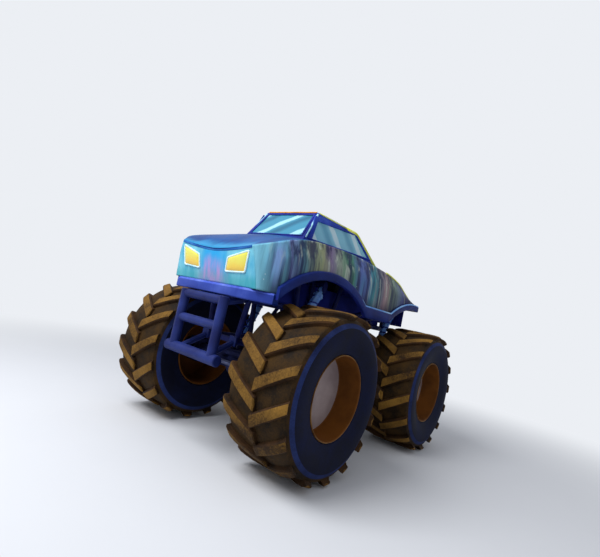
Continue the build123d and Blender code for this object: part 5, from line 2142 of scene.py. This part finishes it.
@dataclass
class Studio:
    """Plain pale floor, an even pale world and one large soft lamp."""

    floor_half: float = 60.0
    fade: Pair = (3.0, 9.0)  # how far out the floor starts to fade, and is gone
    pale: str = "eceff4"
    floor_tone: str = "dcdfe5"
    world_tone: str = "f4f6fb"
    world_light: float = 0.5
    lamp_watts: float = 640.0
    lamp_size: float = 4.5
    lamp_place: Point = (6.0, -1.2, 7.2)
    lamp_aim: Point = (0.3, 0.4, 1.2)

    def seen(self, tree: bpy.types.NodeTree) -> Socket:
        """1 for rays from the camera, a mirror or a pane, which see the pale background.

        Args:
            tree: the node tree that the socket is in.

        Returns:
            The socket.
        """
        path = tree.nodes.new("ShaderNodeLightPath")
        value = path.outputs["Is Camera Ray"]
        for name in ("Is Glossy Ray", "Is Transmission Ray"):
            most = tree.nodes.new("ShaderNodeMath")
            most.operation = "MAXIMUM"
            tree.links.new(value, most.inputs[0])
            tree.links.new(path.outputs[name], most.inputs[1])
            value = most.outputs[0]
        return value

    def world(self) -> None:
        """Even light from all round, behind a pale background."""
        world = bpy.data.worlds.new("pale_world")
        world.use_nodes = True
        tree = world.node_tree
        light = tree.nodes["Background"]
        light.inputs["Color"].default_value = rgb(self.world_tone)
        light.inputs["Strength"].default_value = self.world_light
        shown = tree.nodes.new("ShaderNodeBackground")
        shown.inputs["Color"].default_value = rgb(self.pale)
        mix = tree.nodes.new("ShaderNodeMixShader")
        tree.links.new(self.seen(tree), mix.inputs[0])
        tree.links.new(light.outputs[0], mix.inputs[1])
        tree.links.new(shown.outputs[0], mix.inputs[2])
        tree.links.new(mix.outputs[0], tree.nodes["World Output"].inputs[0])
        bpy.context.scene.world = world

    def floor(self) -> None:
        """A pale floor that fades into the background's colour far out."""
        g = Graph("pale_floor")
        x, y, _ = g.axes()
        away = g.math("SQRT", g.plus(g.times(x, x), g.times(y, y)))
        g.colour(g.laid(rgb(self.floor_tone), self.pale, g.noise(1.2, 3.0), 0.2))
        g.constant(Roughness=0.9, Specular_IOR_Level=0.1)
        glow = g.tree.nodes.new("ShaderNodeEmission")
        glow.inputs["Color"].default_value = rgb(self.pale)
        mix = g.tree.nodes.new("ShaderNodeMixShader")
        far = g.times(g.step(away, *self.fade), self.seen(g.tree))
        g.tree.links.new(far, mix.inputs[0])
        g.tree.links.new(g.shader.outputs[0], mix.inputs[1])
        g.tree.links.new(glow.outputs[0], mix.inputs[2])
        g.tree.links.new(mix.outputs[0], g.tree.nodes["Material Output"].inputs[0])
        skin = Skin("studio_floor")
        edge = np.linspace(-self.floor_half, self.floor_half, 5)
        a, b = np.meshgrid(edge, edge)
        skin.grid(np.stack([a, b, np.zeros(a.shape)], -1), 0, (0.0, 0.0, -1.0))
        skin.make([g.material], False)

    def lamp(self) -> None:
        """One large soft lamp, above and ahead of the truck."""
        light = bpy.data.lights.new("soft_key", "AREA")
        light.energy = self.lamp_watts
        light.size = self.lamp_size
        lamp = bpy.data.objects.new("soft_key", light)
        lamp.location = self.lamp_place
        back = Vector(self.lamp_place) - Vector(self.lamp_aim)
        lamp.rotation_euler = back.to_track_quat("Z", "Y").to_euler()
        bpy.context.scene.collection.objects.link(lamp)

    def build(self) -> None:
        """Makes the studio, with plain colour handling."""
        self.world()
        self.floor()
        self.lamp()
        bpy.context.scene.view_settings.view_transform = "Standard"


RUBBER = {
    "wall": DustyRubber("tyre_wall", "070a1e", "0e1534", 3.0, 0.42, 0.66, 0.001).make(),
    "ring": DustyRubber("tyre_ring", "162046", "263466", 4.0, 0.38, 0.62, 0.001).make(),
    "crown": DustyRubber("tyre_crown", "1a120a", "453013", 4.0, 0.40, 0.68, 0.006).make(),
    # bar tops: dust, and lighter than the flanks as painted light from above
    "lug_top_dust_and_light": DustyRubber("tyre_lug_top", "2c1c0c", "8a662c", 1.5, 0.38, 0.62, 0.005).make(),
    # bar flanks: darker than the tops as painted shade
    "flank": DustyRubber("tyre_lug_flank", "1e130a", "48301a", 4.0, 0.38, 0.66, 0.005).make(),
}
METAL = {
    "barrel": PaintedMetal("rim_barrel", "5a330d", "744414", 0.0, 0.5, 3.0).make(),
    "disc": PaintedMetal("rim_disc", "8c7d7e", "a29392", 0.0, 0.5, 3.0).make(),
    "lip": PaintedMetal("rim_lip", "5b3a18", "8f6a3a", 0.3, 0.4).make(),
    "frame": PaintedMetal("frame_tube", "10164a", "1b2566", 0.0, 0.4).make(),
    "skid": PaintedMetal("skid_tube", "151e52", "233170", 0.0, 0.35, 3.0).make(),
    "shock": PaintedMetal("shock_body", "5a92f0", "8cbcff", 0.0, 0.3).make(),
    "coil": PaintedMetal("spring_wire", "1c2c80", "2c40a4", 0.0, 0.35).make(),
    "axle": PaintedMetal("axle_casting", "14183a", "252b55", 0.25, 0.5).make(),
    "steel": PaintedMetal("link_steel", "4a4f70", "6a7092", 0.6, 0.35).make(),
    "engine": PaintedMetal("engine_casting", "3c3f4a", "595d6a", 0.6, 0.45).make(),
    "cockpit": PaintedMetal("cockpit_trim", "11131f", "1c2032", 0.0, 0.6, 12.0).make(),
    "floor": PaintedMetal("floor_plate", "3a3d4c", "4e5264", 0.5, 0.4).make(),
}
GLASS = {
    "windscreen": TintedGlass("screen_glass").make(),
    "rear_glass": TintedGlass("rear_screen_glass").make(),
    "side_glass": TintedGlass("side_window_glass", "5eacca", "86cee4", "d0f0f8").make(),
}
PAINT = {
    "streak": StreakPaint("side_streaks").make(),
    "nose": NosePaint("nose_pastel").make(),
    "hood": HoodPaint("hood_blue", "08306e", "0c5298", "3c98c8", 0.76).make(),
    "deck": BrushedPaint("deck_blue", "233a86", "3f63b0", "6b92cc").make(),
    "tail": BrushedPaint("tail_navy", "1a2052", "28306e", "3c478c").make(),
    "roof": BrushedPaint("roof_blue", "2b4aa0", "3f6cc0", "79a8dc", 2.4).make(),
    "frame_blue": BrushedPaint("frame_royal", "1a2f8c", "2742a8", "3c5cc4", 3.0).make(),
    "screen_frame": BrushedPaint("screen_frame", "18246c", "22308a", "2f409c", 3.0).make(),
    "inner": BrushedPaint("inner_lining", "161e60", "1e2880", "2a369c", 2.0, 0.6).make(),
    "flare": BrushedPaint("flare_navy", "0e1c58", "16286e", "203684", 2.2).make(),
    # pale blue on the sill's upper bevel: painted highlight
    "sill_edge": BrushedPaint("sill_edge", "4d7fcf", "79abe6", "a5cdf2", 4.0).make(),
    "bumper": BrushedPaint("bumper_indigo", "273888", "34479a", "465aae", 2.0).make(),
    # darker blue of the bumper's side runs: painted shade
    "bumper_side": BrushedPaint("bumper_side", "0c2060", "122c78", "1c3c8c", 2.0).make(),
    # pale periwinkle of the rounded upper edge: painted highlight
    "bumper_edge": BrushedPaint("bumper_edge", "3c50b4", "4c62c4", "7488d4", 4.0).make(),
    # darker blue band under the hood's lip: painted shade
    "crease": BrushedPaint("nose_crease", "1c4a90", "2a62a8", "3f7cbc", 4.0).make(),
    "cyan": BrushedPaint("pillar_cyan", "7fc3dc", "a4dcea", "c4ecf2", 6.0).make(),
    # orange and yellow-green: painted rim light on the roof's edges, the rear pillars and the deck
    "rim_light_orange": BrushedPaint("roof_orange", "d27a22", "e8973a", "f2b45c", 6.0).make(),
    "rim_light_lime": BrushedPaint("edge_lime", "d6dc40", "e8ec58", "f2f28c", 6.0).make(),
    "rim_white": BrushedPaint("lamp_rim", "a8dcec", "d4f0f6", "f0fafc", 6.0).make(),
    "lens": LampLens("headlamp_lens", "e8bc3c", "e2dc58", 1.83, 1.98).make(),
    "tail_lens": LampLens("tail_lamp_lens", "7a0c14", "b41c20", 1.91, 1.98).make(),
}


def main() -> None:
    """Builds the truck's pieces and the studio in order."""
    logging.basicConfig(level=logging.INFO, format="%(name)s %(message)s")
    form = BodyForm()
    PhotoCamera().build()
    Studio().build()
    for end in End:
        for side in Side:
            Tyre(end, side).dress()
            Rim(end, side).dress()
    FrameWork().dress()
    Coils(End.FRONT, (1.10, 0.33, 0.948), (0.60, 0.44, 1.916)).dress()
    Coils(End.REAR, (-1.23, 0.33, 1.0), (-1.5, 0.44, 1.916)).dress()
    BodyShell(form).dress()
    Cab().dress()
    NoseWork(form).dress()
    for side in Side:
        LowerTrim(form, side).dress()
    InnerPanels().dress()
    Bumper().dress()
    FramePieces().dress()
    bpy.context.view_layer.update()


if __name__ == "__main__":
    main()
